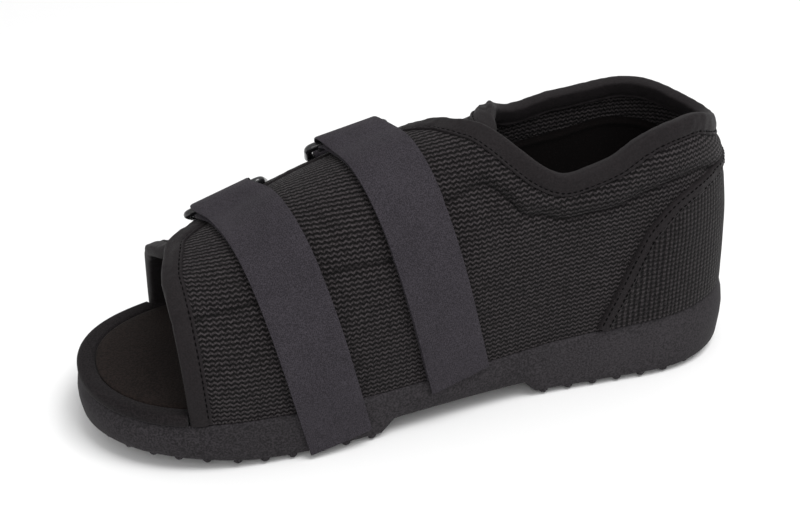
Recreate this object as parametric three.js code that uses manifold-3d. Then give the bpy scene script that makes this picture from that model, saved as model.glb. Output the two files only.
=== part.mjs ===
// Post operative shoe, left, standing empty on its sole.
// Millimetres. +X runs to the toe, +Y to the wearer's left (the outer side), +Z up.
// The origin lies on the ground under the heel seat, at the tip of a stud.

import * as THREE from 'three';
import { mergeVertices } from 'three/addons/utils/BufferGeometryUtils.js';
import Module from 'manifold-3d';

const OUTER = 1;
const INNER = -1;

// Driving sizes of the last and the sole
const SOLE_LENGTH = 300;
const SEAT_TO_BACK = 44;
const HEEL_WIDTH = 77.6;
const BALL_WIDTH = 107.4;
const INSTEP_HEIGHT = 120;
const SOLE_HEIGHT = 25;
const FIT_GAP = 0.3;

// Upper and its trims
const LIP = 1.2;
const WALL = 3;
const FLAP_GAP = 3.5;
const TAPE = 0.6;
const TAPE_GAP = 0.9;
const BINDING_WIDTH = 8;
const PAD_RISE = 6;
const COLLAR_PAD = 2;
const PANEL_PAD = 0.9;
const COUNTER_GAP = 0.8;
const COUNTER_THICKNESS = 1.2;
const COUNTER_HEIGHT = 64;
const COUNTER_TAPE_WIDTH = 6;
const COUNTER_TAPE_THICKNESS = 1.5;

// Outsole
const STUD_RADIUS = 2.9;
const STUD_TAPER = 0.5;
const STUD_HEIGHT = 1.8;
const STUD_PITCH = 12.4;
const STUD_ROW = 10.7;
const STUD_MARGIN = 6.2;
const STUD_ROOT = 1.6;

// Footbed board and insole
const BOARD_HEIGHT = 4.7;
const BOARD_OVERHANG = 0.9;
const BAND_WIDTH = 7.9;
const RECESS_DEPTH = 2.6;
const INSOLE_THICKNESS = 2;

// Straps, their rings and the tabs that hold the rings
const STRAP_WIDTH = 28;
const STRAP_THICKNESS = 1;
const STRAP_GAP = 0.8;
const STRAP_SLANT = 12.5;
const FOLD_LENGTH = 17;
const BAR_RADIUS = 1.8;
const RING_LENGTH = 39.5;
const RING_DEPTH = 16;
const RING_CORNER = 4.5;
const RING_LIFT = 0.8;
const RING_TILT = 3;
const TAB_WIDTH = 30;
const TAB_GAP = 1.3;
const TAB_RISE = 16;
const TAB_TAIL = 14;
const RING_SIDES = 8;
const RING_STEPS = 3;

const xAt = (share) => share * SOLE_LENGTH - SEAT_TO_BACK;
const radians = THREE.MathUtils.degToRad;
const lerp = THREE.MathUtils.lerp;
const smooth = (value, from, to) => THREE.MathUtils.smoothstep(value, from, to);

// A smooth curve through one column of a table whose rows are ordered by their station
function curve(rows, column) {
  const slope = (i) => {
    const low = rows[Math.max(i - 1, 0)];
    const high = rows[Math.min(i + 1, rows.length - 1)];
    return (high[column] - low[column]) / (high.at - low.at);
  };
  return (at) => {
    if (at <= rows[0].at) return rows[0][column];
    if (at >= rows[rows.length - 1].at) return rows[rows.length - 1][column];
    const i = rows.findIndex((row) => row.at > at) - 1;
    const span = rows[i + 1].at - rows[i].at;
    const t = (at - rows[i].at) / span;
    const rise = t * t * (3 - 2 * t);
    const lead = t * (1 - t) * (1 - t) * span;
    const trail = t * t * (t - 1) * span;
    return lerp(rows[i][column], rows[i + 1][column], rise) + lead * slope(i) + trail * slope(i + 1);
  };
}

// Stations of the sole, as shares of its length from the back of the heel
const HEEL_CENTRE = xAt(0.163);
const WAIST_START = xAt(0.302);
const BALL_START = xAt(0.74);
const TOE_START = xAt(0.767);
const TOE_TIP = xAt(1);
const HEEL_REACH = HEEL_CENTRE - xAt(0);
const TOE_POWER = 2 / 2.15;

// Height of the sole's top face, as shares of SOLE_HEIGHT
const SOLE_TOP = [
  { at: 0, top: 1.4 },
  { at: 0.15, top: 1.268 },
  { at: 0.3, top: 1.124 },
  { at: 0.42, top: 0.988 },
  { at: 0.55, top: 0.944 },
  { at: 0.68, top: 0.936 },
  { at: 0.9, top: 0.936 },
  { at: 1, top: 1.012 },
];

// Underside of the sole: how far it rises above the level of the two blocks, same shares
const SOLE_UNDER = [
  { at: 0, rise: 0.14 },
  { at: 0.03, rise: 0.07 },
  { at: 0.065, rise: 0.02 },
  { at: 0.107, rise: 0 },
  { at: 0.342, rise: 0 },
  { at: 0.36, rise: 0.235 },
  { at: 0.573, rise: 0.235 },
  { at: 0.593, rise: 0 },
  { at: 0.747, rise: 0 },
  { at: 0.787, rise: 0.025 },
  { at: 0.84, rise: 0.11 },
  { at: 0.9, rise: 0.19 },
  { at: 0.96, rise: 0.245 },
  { at: 1, rise: 0.26 },
];

const topCurve = curve(SOLE_TOP, 'top');
const shareAt = (x) => (x + SEAT_TO_BACK) / SOLE_LENGTH;
const soleTop = (x) => SOLE_HEIGHT * topCurve(shareAt(x));

function soleUnder(x) {
  const share = THREE.MathUtils.clamp(shareAt(x), 0, 1);
  const i = Math.max(SOLE_UNDER.findIndex((row) => row.at >= share), 1);
  const [low, high] = [SOLE_UNDER[i - 1], SOLE_UNDER[i]];
  const t = (share - low.at) / (high.at - low.at);
  return STUD_HEIGHT + SOLE_HEIGHT * lerp(low.rise, high.rise, t);
}

// Half the width of the sole between the heel's round and the toe's round
const waistWidth = (x) => lerp(HEEL_WIDTH, BALL_WIDTH, smooth(x, WAIST_START, BALL_START)) / 2;

// Half the sole's outline, from the back of the heel to the tip of the toe
function halfOutline(middle, heelSteps, toeSteps) {
  const outline = [];
  for (let i = 0; i < heelSteps; i++) {
    const turn = (1 - (i + 0.35) / heelSteps) * (Math.PI / 2);
    const x = HEEL_CENTRE - HEEL_REACH * Math.sin(turn);
    outline.push(new THREE.Vector2(x, (HEEL_WIDTH / 2) * Math.cos(turn)));
  }
  for (const x of middle) outline.push(new THREE.Vector2(x, waistWidth(x)));
  for (let i = 1; i <= toeSteps; i++) {
    const turn = ((i - 0.35) / toeSteps) * (Math.PI / 2);
    const along = Math.sin(turn) ** TOE_POWER;
    const across = Math.cos(turn) ** TOE_POWER;
    outline.push(new THREE.Vector2(lerp(TOE_START, TOE_TIP, along), (BALL_WIDTH / 2) * across));
  }
  return outline;
}

// Moves a half outline inward by the inset given for each x
function insetOutline(outline, insetAt) {
  return outline.map((point, i) => {
    const before = outline[i - 1] ?? new THREE.Vector2(outline[0].x, -outline[0].y);
    const last = outline[outline.length - 1];
    const after = outline[i + 1] ?? new THREE.Vector2(last.x, -last.y);
    const along = after.clone().sub(before).normalize();
    const inset = insetAt(point.x);
    return new THREE.Vector2(point.x + along.y * inset, Math.max(point.y - along.x * inset, 0.5));
  });
}

// One closed loop around the sole: up the outer side to the toe, back down the inner side
function soleLoop(halves, heightAt) {
  const [outer, inner] = halves;
  const outerSide = outer.map((p) => new THREE.Vector3(p.x, p.y, heightAt(p.x)));
  const innerSide = inner.map((p) => new THREE.Vector3(p.x, -p.y, heightAt(p.x)));
  return [...outerSide, ...innerSide.reverse()];
}

// Faces that close a loop whose point j lies across from its point n - 1 - j
function zipFaces(count) {
  const faces = [];
  for (let j = 0; j < count / 2 - 1; j++) {
    faces.push([j, j + 1, count - 2 - j], [j, count - 2 - j, count - 1 - j]);
  }
  return faces;
}

// Closed solid through rings of equal length. Its ends are zipped shut, or joined to each other.
function loft(rings, joined = false) {
  const count = rings[0].length;
  const index = [];
  const spans = joined ? rings.length : rings.length - 1;
  for (let i = 0; i < spans; i++) {
    const low = i * count;
    const high = ((i + 1) % rings.length) * count;
    for (let j = 0; j < count; j++) {
      const k = (j + 1) % count;
      index.push(low + j, low + k, high + k, low + j, high + k, high + j);
    }
  }
  if (!joined) {
    const last = (rings.length - 1) * count;
    for (const [a, b, c] of zipFaces(count)) index.push(a, c, b, last + a, last + b, last + c);
  }
  const points = rings.flat();
  const normal = new THREE.Vector3();
  let inside = 0;
  for (let i = 0; i < index.length; i += 3) {
    const [a, b, c] = [points[index[i]], points[index[i + 1]], points[index[i + 2]]];
    inside += a.dot(normal.crossVectors(b, c));
  }
  if (inside < 0) index.reverse();
  const geometry = new THREE.BufferGeometry().setFromPoints(points);
  geometry.setIndex(index);
  return geometry;
}

// Cross sections of the last. ridge and innerRidge are the height where each half of the section
// would meet over the instep, as shares of INSTEP_HEIGHT; fullness is the superellipse power.
const LAST = [
  { at: -0.07, ridge: 1.3, innerRidge: 1.3, fullness: 2.05 },
  { at: 0, ridge: 1.3, innerRidge: 1.3, fullness: 2.2 },
  { at: 0.1, ridge: 1.3, innerRidge: 1.3, fullness: 2.65 },
  { at: 0.24, ridge: 1.25, innerRidge: 1.25, fullness: 3.2 },
  { at: 0.34, ridge: 1.167, innerRidge: 1.11, fullness: 3 },
  { at: 0.38, ridge: 1.115, innerRidge: 1.055, fullness: 2.8 },
  { at: 0.42, ridge: 1.065, innerRidge: 1.045, fullness: 2.6 },
  { at: 0.46, ridge: 1.02, innerRidge: 1.02, fullness: 2.45 },
  { at: 0.5, ridge: 0.99, innerRidge: 0.99, fullness: 2.35 },
  { at: 0.56, ridge: 0.955, innerRidge: 0.955, fullness: 2.25 },
  { at: 0.65, ridge: 0.878, innerRidge: 0.878, fullness: 2.15 },
  { at: 0.695, ridge: 0.828, innerRidge: 0.828, fullness: 2.15 },
  { at: 0.75, ridge: 0.742, innerRidge: 0.742, fullness: 2.2 },
  { at: 0.8, ridge: 0.703, innerRidge: 0.703, fullness: 2.3 },
  { at: 0.85, ridge: 0.668, innerRidge: 0.668, fullness: 2.45 },
  { at: 0.9, ridge: 0.64, innerRidge: 0.64, fullness: 2.5 },
];

const HEEL_TURN = 43;
const SECTION_STEPS = 60;
const HALF_TURN = Math.PI / 2;
const ridgeCurve = { [OUTER]: curve(LAST, 'ridge'), [INNER]: curve(LAST, 'innerRidge') };
const fullnessCurve = curve(LAST, 'fullness');
const sections = new Map();

// The half section at a station. Stations run along X, and behind the heel's centre they turn
// around it, HEEL_TURN millimetres to the radian.
function section(side, station) {
  const key = `${side} ${station}`;
  if (sections.has(key)) return sections.get(key);
  const turn = Math.max(HEEL_CENTRE - station, 0) / HEEL_TURN;
  const centre = Math.max(station, HEEL_CENTRE);
  const outward = new THREE.Vector2(-Math.sin(turn), side * Math.cos(turn));
  const across = HEEL_WIDTH / 2 - LIP;
  const back = HEEL_REACH - LIP;
  const heelReach = (across * back) / Math.hypot(back * Math.cos(turn), across * Math.sin(turn));
  const reach = turn > 0 ? heelReach : outlineHalf(station) - LIP;
  const foot = soleTop(centre + outward.x * reach) + FIT_GAP;
  const ridge = INSTEP_HEIGHT * ridgeCurve[side](shareAt(station));
  const power = 2 / fullnessCurve(shareAt(station));
  const angles = [];
  const girths = [];
  let previous;
  for (let i = 0; i <= SECTION_STEPS; i++) {
    const angle = HALF_TURN * smooth(i, 0, SECTION_STEPS);
    const rise = (ridge - foot) * Math.sin(angle) ** power;
    const point = new THREE.Vector2(reach * Math.cos(angle) ** power, rise);
    if (i === SECTION_STEPS) point.x = 0;
    angles.push(angle);
    girths.push(i === 0 ? 0 : girths[i - 1] + point.distanceTo(previous));
    previous = point;
  }
  const made = { centre, outward, reach, foot, ridge, power, angles, girths };
  sections.set(key, made);
  return made;
}

function outlineHalf(x) {
  if (x < TOE_START) return waistWidth(x);
  const along = Math.min((x - TOE_START) / (TOE_TIP - TOE_START), 1);
  return (BALL_WIDTH / 2) * (1 - along ** (2 / TOE_POWER)) ** (TOE_POWER / 2);
}

function lookUp(value, from, to) {
  const i = Math.min(Math.max(from.findIndex((entry) => entry >= value), 1), from.length - 1);
  return lerp(to[i - 1], to[i], (value - from[i - 1]) / (from[i] - from[i - 1]));
}

// Girth from the foot of the wall to a wrap angle in degrees, 90 being the ridge, and back again
function girthAt(side, station, wrap) {
  const { angles, girths } = section(side, station);
  const half = girths[SECTION_STEPS];
  const angle = radians(Math.min(wrap, 180 - wrap));
  const girth = lookUp(angle, angles, girths);
  return wrap > 90 ? 2 * half - girth : girth;
}

function wrapPoint(side, station, girth) {
  const { centre, outward, reach, foot, ridge, power, angles, girths } = section(side, station);
  const half = girths[SECTION_STEPS];
  if (girth < 0) return new THREE.Vector3(centre + outward.x * reach, outward.y * reach, foot + girth);
  const angle = lookUp(Math.min(girth, 2 * half - girth), girths, angles);
  const across = reach * Math.max(Math.cos(angle), 0) ** power * (girth > half ? -1 : 1);
  const rise = (ridge - foot) * Math.sin(angle) ** power;
  return new THREE.Vector3(centre + outward.x * across, outward.y * across, foot + rise);
}

// Directions of the last's surface: along the stations, along the girth, and straight out
function surfaceAxes(side, station, girth) {
  const step = 0.4;
  const along = wrapPoint(side, station + step, girth).sub(wrapPoint(side, station - step, girth));
  const around = wrapPoint(side, station, girth + step).sub(wrapPoint(side, station, girth - step));
  along.divideScalar(2 * step);
  around.divideScalar(2 * step);
  const out = new THREE.Vector3().crossVectors(around, along).multiplyScalar(side).normalize();
  return { along, around, out };
}

// Top edge of the upper. Each row is a station line up the wall: at is its station at the foot,
// edge its station at the top, both as shares of the sole; wrap is where the wall ends, in degrees,
// and seam where the padded panel under that edge begins.
const OUTER_EDGE = [
  { at: 0.862, edge: 0.874, wrap: 70, seam: 46 },
  { at: 0.857, edge: 0.869, wrap: 80, seam: 46 },
  { at: 0.847, edge: 0.857, wrap: 92, seam: 46 },
  { at: 0.833, edge: 0.838, wrap: 99, seam: 46 },
  { at: 0.812, edge: 0.812, wrap: 105, seam: 46, joint: true },
  { at: 0.77, edge: 0.77, wrap: 113, seam: 46 },
  { at: 0.72, edge: 0.72, wrap: 116, seam: 45 },
  { at: 0.67, edge: 0.67, wrap: 116, seam: 43 },
  { at: 0.62, edge: 0.62, wrap: 116, seam: 41 },
  { at: 0.57, edge: 0.57, wrap: 115, seam: 38 },
  { at: 0.53, edge: 0.53, wrap: 112, seam: 36 },
  { at: 0.495, edge: 0.495, wrap: 105, seam: 34 },
  { at: 0.465, edge: 0.465, wrap: 96, seam: 33 },
  { at: 0.452, edge: 0.452, wrap: 91.5, seam: 32.5 },
  { at: 0.44, edge: 0.44, wrap: 87, seam: 32 },
  { at: 0.427, edge: 0.427, wrap: 81.5, seam: 31.5 },
  { at: 0.415, edge: 0.415, wrap: 76, seam: 31 },
  { at: 0.393, edge: 0.393, wrap: 63, seam: 30 },
  { at: 0.372, edge: 0.372, wrap: 52, seam: 29 },
  { at: 0.345, edge: 0.345, wrap: 41, seam: 26 },
  { at: 0.31, edge: 0.31, wrap: 33.5, seam: 21.5 },
  { at: 0.272, edge: 0.272, wrap: 32, seam: 20 },
  { at: 0.235, edge: 0.235, wrap: 33, seam: 19.5 },
  { at: 0.198, edge: 0.198, wrap: 37.1, seam: 21.6 },
  { at: 0.163, edge: 0.163, wrap: 40.1, seam: 23.7 },
  { at: 0.127, edge: 0.127, wrap: 41.5, seam: 25.7 },
  { at: 0.092, edge: 0.092, wrap: 42.5, seam: 27.2 },
  { at: 0.057, edge: 0.057, wrap: 42.7, seam: 27.5 },
  { at: 0.022, edge: 0.022, wrap: 41.7, seam: 27 },
  { at: -0.0125, edge: -0.0125, wrap: 40.6, seam: 26 },
  { at: -0.0445, edge: -0.0445, wrap: 39.8, seam: 25 },
];

const INNER_EDGE = [
  { at: 0.874, edge: 0.876, wrap: 44, seam: 36 },
  { at: 0.869, edge: 0.87, wrap: 56, seam: 36 },
  { at: 0.857, edge: 0.856, wrap: 70, seam: 37 },
  { at: 0.842, edge: 0.838, wrap: 86, seam: 38 },
  { at: 0.833, edge: 0.829, wrap: 95, seam: 38.5 },
  { at: 0.822, edge: 0.818, wrap: 102, seam: 39 },
  { at: 0.795, edge: 0.795, wrap: 110, seam: 40, joint: true },
  { at: 0.75, edge: 0.75, wrap: 112, seam: 40 },
  { at: 0.7, edge: 0.7, wrap: 112, seam: 40 },
  { at: 0.65, edge: 0.65, wrap: 112, seam: 40 },
  { at: 0.6, edge: 0.6, wrap: 112, seam: 40 },
  { at: 0.55, edge: 0.55, wrap: 112, seam: 40 },
  { at: 0.5, edge: 0.5, wrap: 112, seam: 38 },
  { at: 0.455, edge: 0.455, wrap: 112, seam: 36 },
  { at: 0.42, edge: 0.42, wrap: 111, seam: 34 },
  { at: 0.398, edge: 0.402, wrap: 106, seam: 32 },
  { at: 0.384, edge: 0.389, wrap: 95, seam: 31 },
  { at: 0.373, edge: 0.377, wrap: 81, seam: 30 },
  { at: 0.362, edge: 0.365, wrap: 66, seam: 29 },
  { at: 0.35, edge: 0.351, wrap: 54, seam: 28, joint: true },
  { at: 0.332, edge: 0.332, wrap: 46, seam: 26 },
  { at: 0.305, edge: 0.305, wrap: 40.5, seam: 24 },
  { at: 0.272, edge: 0.272, wrap: 37.5, seam: 22 },
  { at: 0.235, edge: 0.235, wrap: 35.8, seam: 21 },
  { at: 0.198, edge: 0.198, wrap: 36, seam: 22.1 },
  { at: 0.163, edge: 0.163, wrap: 37.3, seam: 23.7 },
  { at: 0.127, edge: 0.127, wrap: 38.6, seam: 24.7 },
  { at: 0.092, edge: 0.092, wrap: 39.1, seam: 25.2 },
  { at: 0.057, edge: 0.057, wrap: 39.3, seam: 25.5 },
  { at: 0.022, edge: 0.022, wrap: 39.3, seam: 25.5 },
  { at: -0.0125, edge: -0.0125, wrap: 39.2, seam: 25.4 },
  { at: -0.0445, edge: -0.0445, wrap: 39.3, seam: 25 },
];

// Lines across the wall, in order from the outer toe edge around the heel to the inner toe edge
const withSide = (rows, side) => rows.map((row) => ({ ...row, side }));
const WALL_LINES = [...withSide(OUTER_EDGE, OUTER), ...withSide(INNER_EDGE, INNER).reverse()];

// Under the outer flap the inner flap lies lower, by one wall and the gap between the flaps
const UNDERLAP_START = xAt(0.33);
const UNDERLAP_END = xAt(0.41);
const UNDERLAP_WRAP = [34, 62];

function underlap(side, station, girth) {
  if (side === OUTER || station < UNDERLAP_START) return 0;
  const from = girthAt(side, station, UNDERLAP_WRAP[0]);
  const to = girthAt(side, station, UNDERLAP_WRAP[1]);
  return (WALL + FLAP_GAP) * smooth(station, UNDERLAP_START, UNDERLAP_END) * smooth(girth, from, to);
}

// Wall lines as curves of the station, for the padding between seam and edge
function lineCurve(side, column) {
  const rows = WALL_LINES.filter((row) => row.side === side).map((row) => ({ ...row, at: row.edge }));
  rows.sort((a, b) => a.at - b.at);
  return curve(rows, column);
}
const seamWrap = { [OUTER]: lineCurve(OUTER, 'seam'), [INNER]: lineCurve(INNER, 'seam') };
const edgeWrap = { [OUTER]: lineCurve(OUTER, 'wrap'), [INNER]: lineCurve(INNER, 'wrap') };
const PAD_FADE = [xAt(0.37), xAt(0.47)];
const pillow = (depth) => Math.sin(Math.min(Math.max(depth / PAD_RISE, 0), 1) * HALF_TURN);

function padding(side, station, girth) {
  const share = shareAt(station);
  const panel = side === OUTER ? PANEL_PAD : 0;
  const height = lerp(COLLAR_PAD, panel, smooth(station, PAD_FADE[0], PAD_FADE[1]));
  const above = girth - girthAt(side, station, seamWrap[side](share));
  const below = girthAt(side, station, edgeWrap[side](share)) - BINDING_WIDTH - girth;
  return height * pillow(above) * pillow(below);
}

// A point on the wall: station, girth, and distance out from the wall's outer face
function onWall(side, station, girth, off) {
  const { out } = surfaceAxes(side, station, girth);
  const padded = off > -WALL / 2 ? padding(side, station, girth) : 0;
  const rise = off + padded - underlap(side, station, girth);
  return wrapPoint(side, station, girth).addScaledVector(out, rise);
}

// One station line of the wall, from foot to edge, with its station leaning to the edge's
const LOWER_STEPS = 5;
const PAD_STEPS = 5;
const EDGE_STEPS = 2;

function lineStations(line) {
  const steps = [];
  const edgeStation = xAt(line.edge);
  const seamGirth = girthAt(line.side, edgeStation, line.seam);
  const edgeGirth = girthAt(line.side, edgeStation, line.wrap);
  const tapeGirth = Math.max(edgeGirth - BINDING_WIDTH, lerp(seamGirth, edgeGirth, 0.5));
  for (let i = 0; i < LOWER_STEPS; i++) steps.push((seamGirth * i) / LOWER_STEPS);
  for (let i = 0; i < PAD_STEPS; i++) steps.push(lerp(seamGirth, tapeGirth, i / PAD_STEPS));
  for (let i = 0; i <= EDGE_STEPS; i++) steps.push(lerp(tapeGirth, edgeGirth, i / EDGE_STEPS));
  const stationAt = (girth) => lerp(xAt(line.at), edgeStation, girth / edgeGirth);
  return steps.map((girth) => ({ side: line.side, station: stationAt(girth), girth }));
}

function wallRing(line) {
  const stations = lineStations(line);
  const outside = stations.map((s) => onWall(s.side, s.station, s.girth, 0));
  const inside = stations.map((s) => onWall(s.side, s.station, s.girth, -WALL));
  return [...outside, ...inside.reverse()];
}

const makeUpper = () => loft(WALL_LINES.map(wallRing));

// The wall's whole upper edge: up the outer toe edge, back along the outer flap and the collar,
// around the heel, forward to the inner flap and down the inner toe edge
const topOf = (line) => ({ ...lineStations(line).at(-1), joint: line.joint });
const EDGE = [
  ...lineStations(WALL_LINES[0]),
  ...WALL_LINES.slice(1, -1).map(topOf),
  ...lineStations(WALL_LINES.at(-1)).reverse(),
];

// Directions at each point of a path on the wall: along it, and inward across the wall
function pathFrames(path) {
  const points = path.map(({ side, station, girth }) => onWall(side, station, girth, 0));
  return path.map(({ side, station, girth }, i) => {
    const before = points[Math.max(i - 1, 0)];
    const after = points[Math.min(i + 1, path.length - 1)];
    const along = after.clone().sub(before).normalize();
    const { out } = surfaceAxes(side, station, girth);
    const inward = new THREE.Vector3().crossVectors(along, out).normalize();
    return { along, inward };
  });
}

// The place on the wall that lies a depth inward from a place on a path
function inset({ side, station, girth }, inward, depth) {
  const { along, around } = surfaceAxes(side, station, girth);
  const [a, b, c] = [along.dot(along), along.dot(around), around.dot(around)];
  const [p, q] = [inward.dot(along), inward.dot(around)];
  const scale = depth / (a * c - b * b);
  return {
    side,
    station: station + (p * c - q * b) * scale,
    girth: Math.max(girth + (q * a - p * b) * scale, 0),
  };
}

// Sweeps a section of depths and offs along part of a path. Where another piece meets its first
// or last ring, that ring stops half a gap short.
function sweepPath(path, first, last, profile) {
  const frames = pathFrames(path);
  const rings = [];
  for (let i = first; i <= last; i++) {
    const { along, inward } = frames[i];
    const short = (FIT_GAP / 2) * ((i === first && i > 0) - (i === last && i < path.length - 1));
    rings.push(profile.map(({ depth, off }) => {
      const { side, station, girth } = inset(path[i], inward, Math.max(depth, 0));
      const point = onWall(side, station, girth, off);
      return point.addScaledVector(inward, Math.min(depth, 0)).addScaledVector(along, short);
    }));
  }
  return loft(rings);
}

// Edge tape: a folded strip over the wall's edge. Its section is given as depth below the edge and
// distance out from the wall's outer face: round the outside of the fold, then back inside it.
const TAPE_OUT = TAPE_GAP + TAPE;
const TAPE_ROUND = 0.3;
const TAPE_SECTION = [
  { depth: BINDING_WIDTH, off: TAPE_OUT },
  { depth: TAPE_ROUND, off: TAPE_OUT },
  { depth: -TAPE_OUT, off: -TAPE_ROUND },
  { depth: -TAPE_OUT, off: TAPE_ROUND - WALL },
  { depth: TAPE_ROUND, off: -WALL - TAPE_OUT },
  { depth: BINDING_WIDTH, off: -WALL - TAPE_OUT },
  { depth: BINDING_WIDTH, off: -WALL - TAPE_GAP },
  { depth: TAPE_ROUND, off: -WALL - TAPE_GAP },
  { depth: -TAPE_GAP, off: TAPE_ROUND - WALL },
  { depth: -TAPE_GAP, off: -TAPE_ROUND },
  { depth: TAPE_ROUND, off: TAPE_GAP },
  { depth: BINDING_WIDTH, off: TAPE_GAP },
];

const BINDINGS = ['toe_binding_outer', 'collar_binding', 'flap_binding', 'toe_binding_inner'];

// The tapes between one joint of the edge and the next
function makeBindings() {
  const joints = EDGE.flatMap((place, i) => (place.joint ? [i] : []));
  const ends = [0, ...joints, EDGE.length - 1];
  return BINDINGS.map((name, i) => ({ name, geometry: sweepPath(EDGE, ends[i], ends[i + 1], TAPE_SECTION) }));
}

// Heel counter: how far up the wall its top edge lies, as shares of COUNTER_HEIGHT
const COUNTER = [
  { at: 0.249, rise: 0.03 },
  { at: 0.23, rise: 0.22 },
  { at: 0.21, rise: 0.43 },
  { at: 0.196, rise: 0.57 },
  { at: 0.183, rise: 0.7 },
  { at: 0.163, rise: 0.81 },
  { at: 0.14, rise: 0.89 },
  { at: 0.11, rise: 0.945 },
  { at: 0.07, rise: 0.985 },
  { at: 0.03, rise: 1 },
  { at: -0.01, rise: 1 },
  { at: -0.0445, rise: 1 },
];
const COUNTER_STEPS = 5;
const COUNTER_FOOT = 0.4;
const COUNTER_EDGE = [...withSide(COUNTER, OUTER), ...withSide(COUNTER, INNER).reverse()].map(
  ({ at, rise, side }) => ({ side, station: xAt(at), girth: rise * COUNTER_HEIGHT }),
);

function makeCounter() {
  const frames = pathFrames(COUNTER_EDGE);
  return loft(COUNTER_EDGE.slice(1, -1).map((place, i) => {
    const { side, station, girth } = inset(place, frames[i + 1].inward, COUNTER_TAPE_WIDTH + FIT_GAP);
    const top = Math.max(girth, COUNTER_FOOT + COUNTER_THICKNESS);
    const girths = [];
    for (let k = 0; k <= COUNTER_STEPS; k++) girths.push(lerp(COUNTER_FOOT, top, k / COUNTER_STEPS));
    const outside = girths.map((g) => onWall(side, station, g, COUNTER_GAP + COUNTER_THICKNESS));
    const inside = girths.map((g) => onWall(side, station, g, COUNTER_GAP));
    return [...outside, ...inside.reverse()];
  }));
}

function makeCounterTape() {
  const top = COUNTER_GAP + COUNTER_TAPE_THICKNESS;
  const round = TAPE / 2;
  return sweepPath(COUNTER_EDGE, 0, COUNTER_EDGE.length - 1, [
    { depth: 0, off: COUNTER_GAP },
    { depth: round, off: top },
    { depth: COUNTER_TAPE_WIDTH - round, off: top },
    { depth: COUNTER_TAPE_WIDTH, off: COUNTER_GAP },
  ]);
}

// Sole outlines: stations along the middle, as shares, with the corners of the arch among them
const OUTSOLE_MIDDLE = [
  0.163, 0.2, 0.25, 0.302, 0.342, 0.36, 0.41, 0.46, 0.51, 0.573, 0.593, 0.64, 0.69, 0.747, 0.767,
].map(xAt);

// Outsole side, from its underside up: inset from the outline and share of the height there
const OUTSOLE_SIDE = [
  { inset: 3.4, rise: 0, add: 0 },
  { inset: 1.6, rise: 0, add: 0.5 },
  { inset: 0.4, rise: 0, add: 2.2 },
  { inset: -0.4, rise: 0.5, add: 0 },
  { inset: 0, rise: 1, add: -1.3 },
  { inset: 0.7, rise: 1, add: 0 },
];

const makeStud = (x, y) => {
  const height = STUD_HEIGHT + STUD_ROOT;
  const stud = new THREE.CylinderGeometry(STUD_RADIUS, STUD_RADIUS - STUD_TAPER, height, 6);
  stud.rotateX(HALF_TURN);
  return stud.translate(x, y, soleUnder(x) - STUD_HEIGHT + height / 2);
};

// Places of the studs: rows a STUD_ROW apart, every other row half a pitch along
function studPlaces() {
  const places = [];
  const rows = Math.ceil(BALL_WIDTH / 2 / STUD_ROW);
  for (let row = -rows; row <= rows; row++) {
    const shift = row % 2 ? STUD_PITCH / 2 : 0;
    for (let x = -Math.ceil(SEAT_TO_BACK / STUD_PITCH) * STUD_PITCH + shift; x < TOE_TIP; x += STUD_PITCH) {
      const y = row * STUD_ROW;
      if (onBlock(x) && insideOutline(x, y)) places.push([x, y]);
    }
  }
  return places;
}

const HEEL_BLOCK = [xAt(0.018), xAt(0.342) - STUD_RADIUS];
const FRONT_BLOCK = [xAt(0.593) + STUD_RADIUS, xAt(0.975)];
const between = (x, [low, high]) => x >= low && x <= high;
const onBlock = (x) => between(x, HEEL_BLOCK) || between(x, FRONT_BLOCK);

function insideOutline(x, y) {
  const reach = Math.abs(y) + STUD_MARGIN;
  if (x < HEEL_CENTRE) {
    const back = HEEL_REACH - STUD_MARGIN;
    const across = HEEL_WIDTH / 2 - STUD_MARGIN;
    return Math.hypot((x - HEEL_CENTRE) / back, y / across) <= 1;
  }
  if (x < TOE_START) return reach <= waistWidth(x);
  const along = (x - TOE_START) / (TOE_TIP - TOE_START - STUD_MARGIN);
  const across = Math.abs(y) / (BALL_WIDTH / 2 - STUD_MARGIN);
  return along ** (2 / TOE_POWER) + across ** (2 / TOE_POWER) <= 1;
}

const wasm = await Module();
wasm.setup();

// A geometry as a solid of the boolean library, and back
function toSolid(geometry) {
  const bare = geometry.clone();
  bare.deleteAttribute('normal');
  bare.deleteAttribute('uv');
  const merged = mergeVertices(bare, 1e-4);
  const vertProperties = new Float32Array(merged.attributes.position.array);
  const triVerts = new Uint32Array(merged.index.array);
  return new wasm.Manifold(new wasm.Mesh({ numProp: 3, vertProperties, triVerts }));
}

function toGeometry(solid) {
  const mesh = solid.getMesh();
  const geometry = new THREE.BufferGeometry();
  geometry.setAttribute('position', new THREE.BufferAttribute(new Float32Array(mesh.vertProperties), 3));
  geometry.setIndex(new THREE.BufferAttribute(new Uint32Array(mesh.triVerts), 1));
  return geometry;
}

function makeOutsole() {
  const outline = halfOutline(OUTSOLE_MIDDLE, 7, 9);
  const rings = OUTSOLE_SIDE.map(({ inset, rise, add }) => {
    const half = insetOutline(outline, () => inset);
    return soleLoop([half, half], (x) => lerp(soleUnder(x), soleTop(x), rise) + add);
  });
  const body = toSolid(loft(rings));
  const studs = studPlaces().map(([x, y]) => toSolid(makeStud(x, y)));
  return toGeometry(studs.reduce((joined, stud) => joined.add(stud), body));
}

// Footbed board: wide at the open toe, and inside the wall and its toe tape behind it
const INSIDE_WALL = LIP + WALL + TAPE_OUT + FIT_GAP;
const TOE_STEP = { [OUTER]: xAt(0.862) + 1.7, [INNER]: xAt(0.874) + 1.7 };
const STEP_LENGTH = 0.8;
const BOARD_MIDDLE = [0.163, 0.25, 0.33, 0.42, 0.52, 0.62, 0.7, 0.767];
const BAND_ROUND = 1.6;

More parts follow.
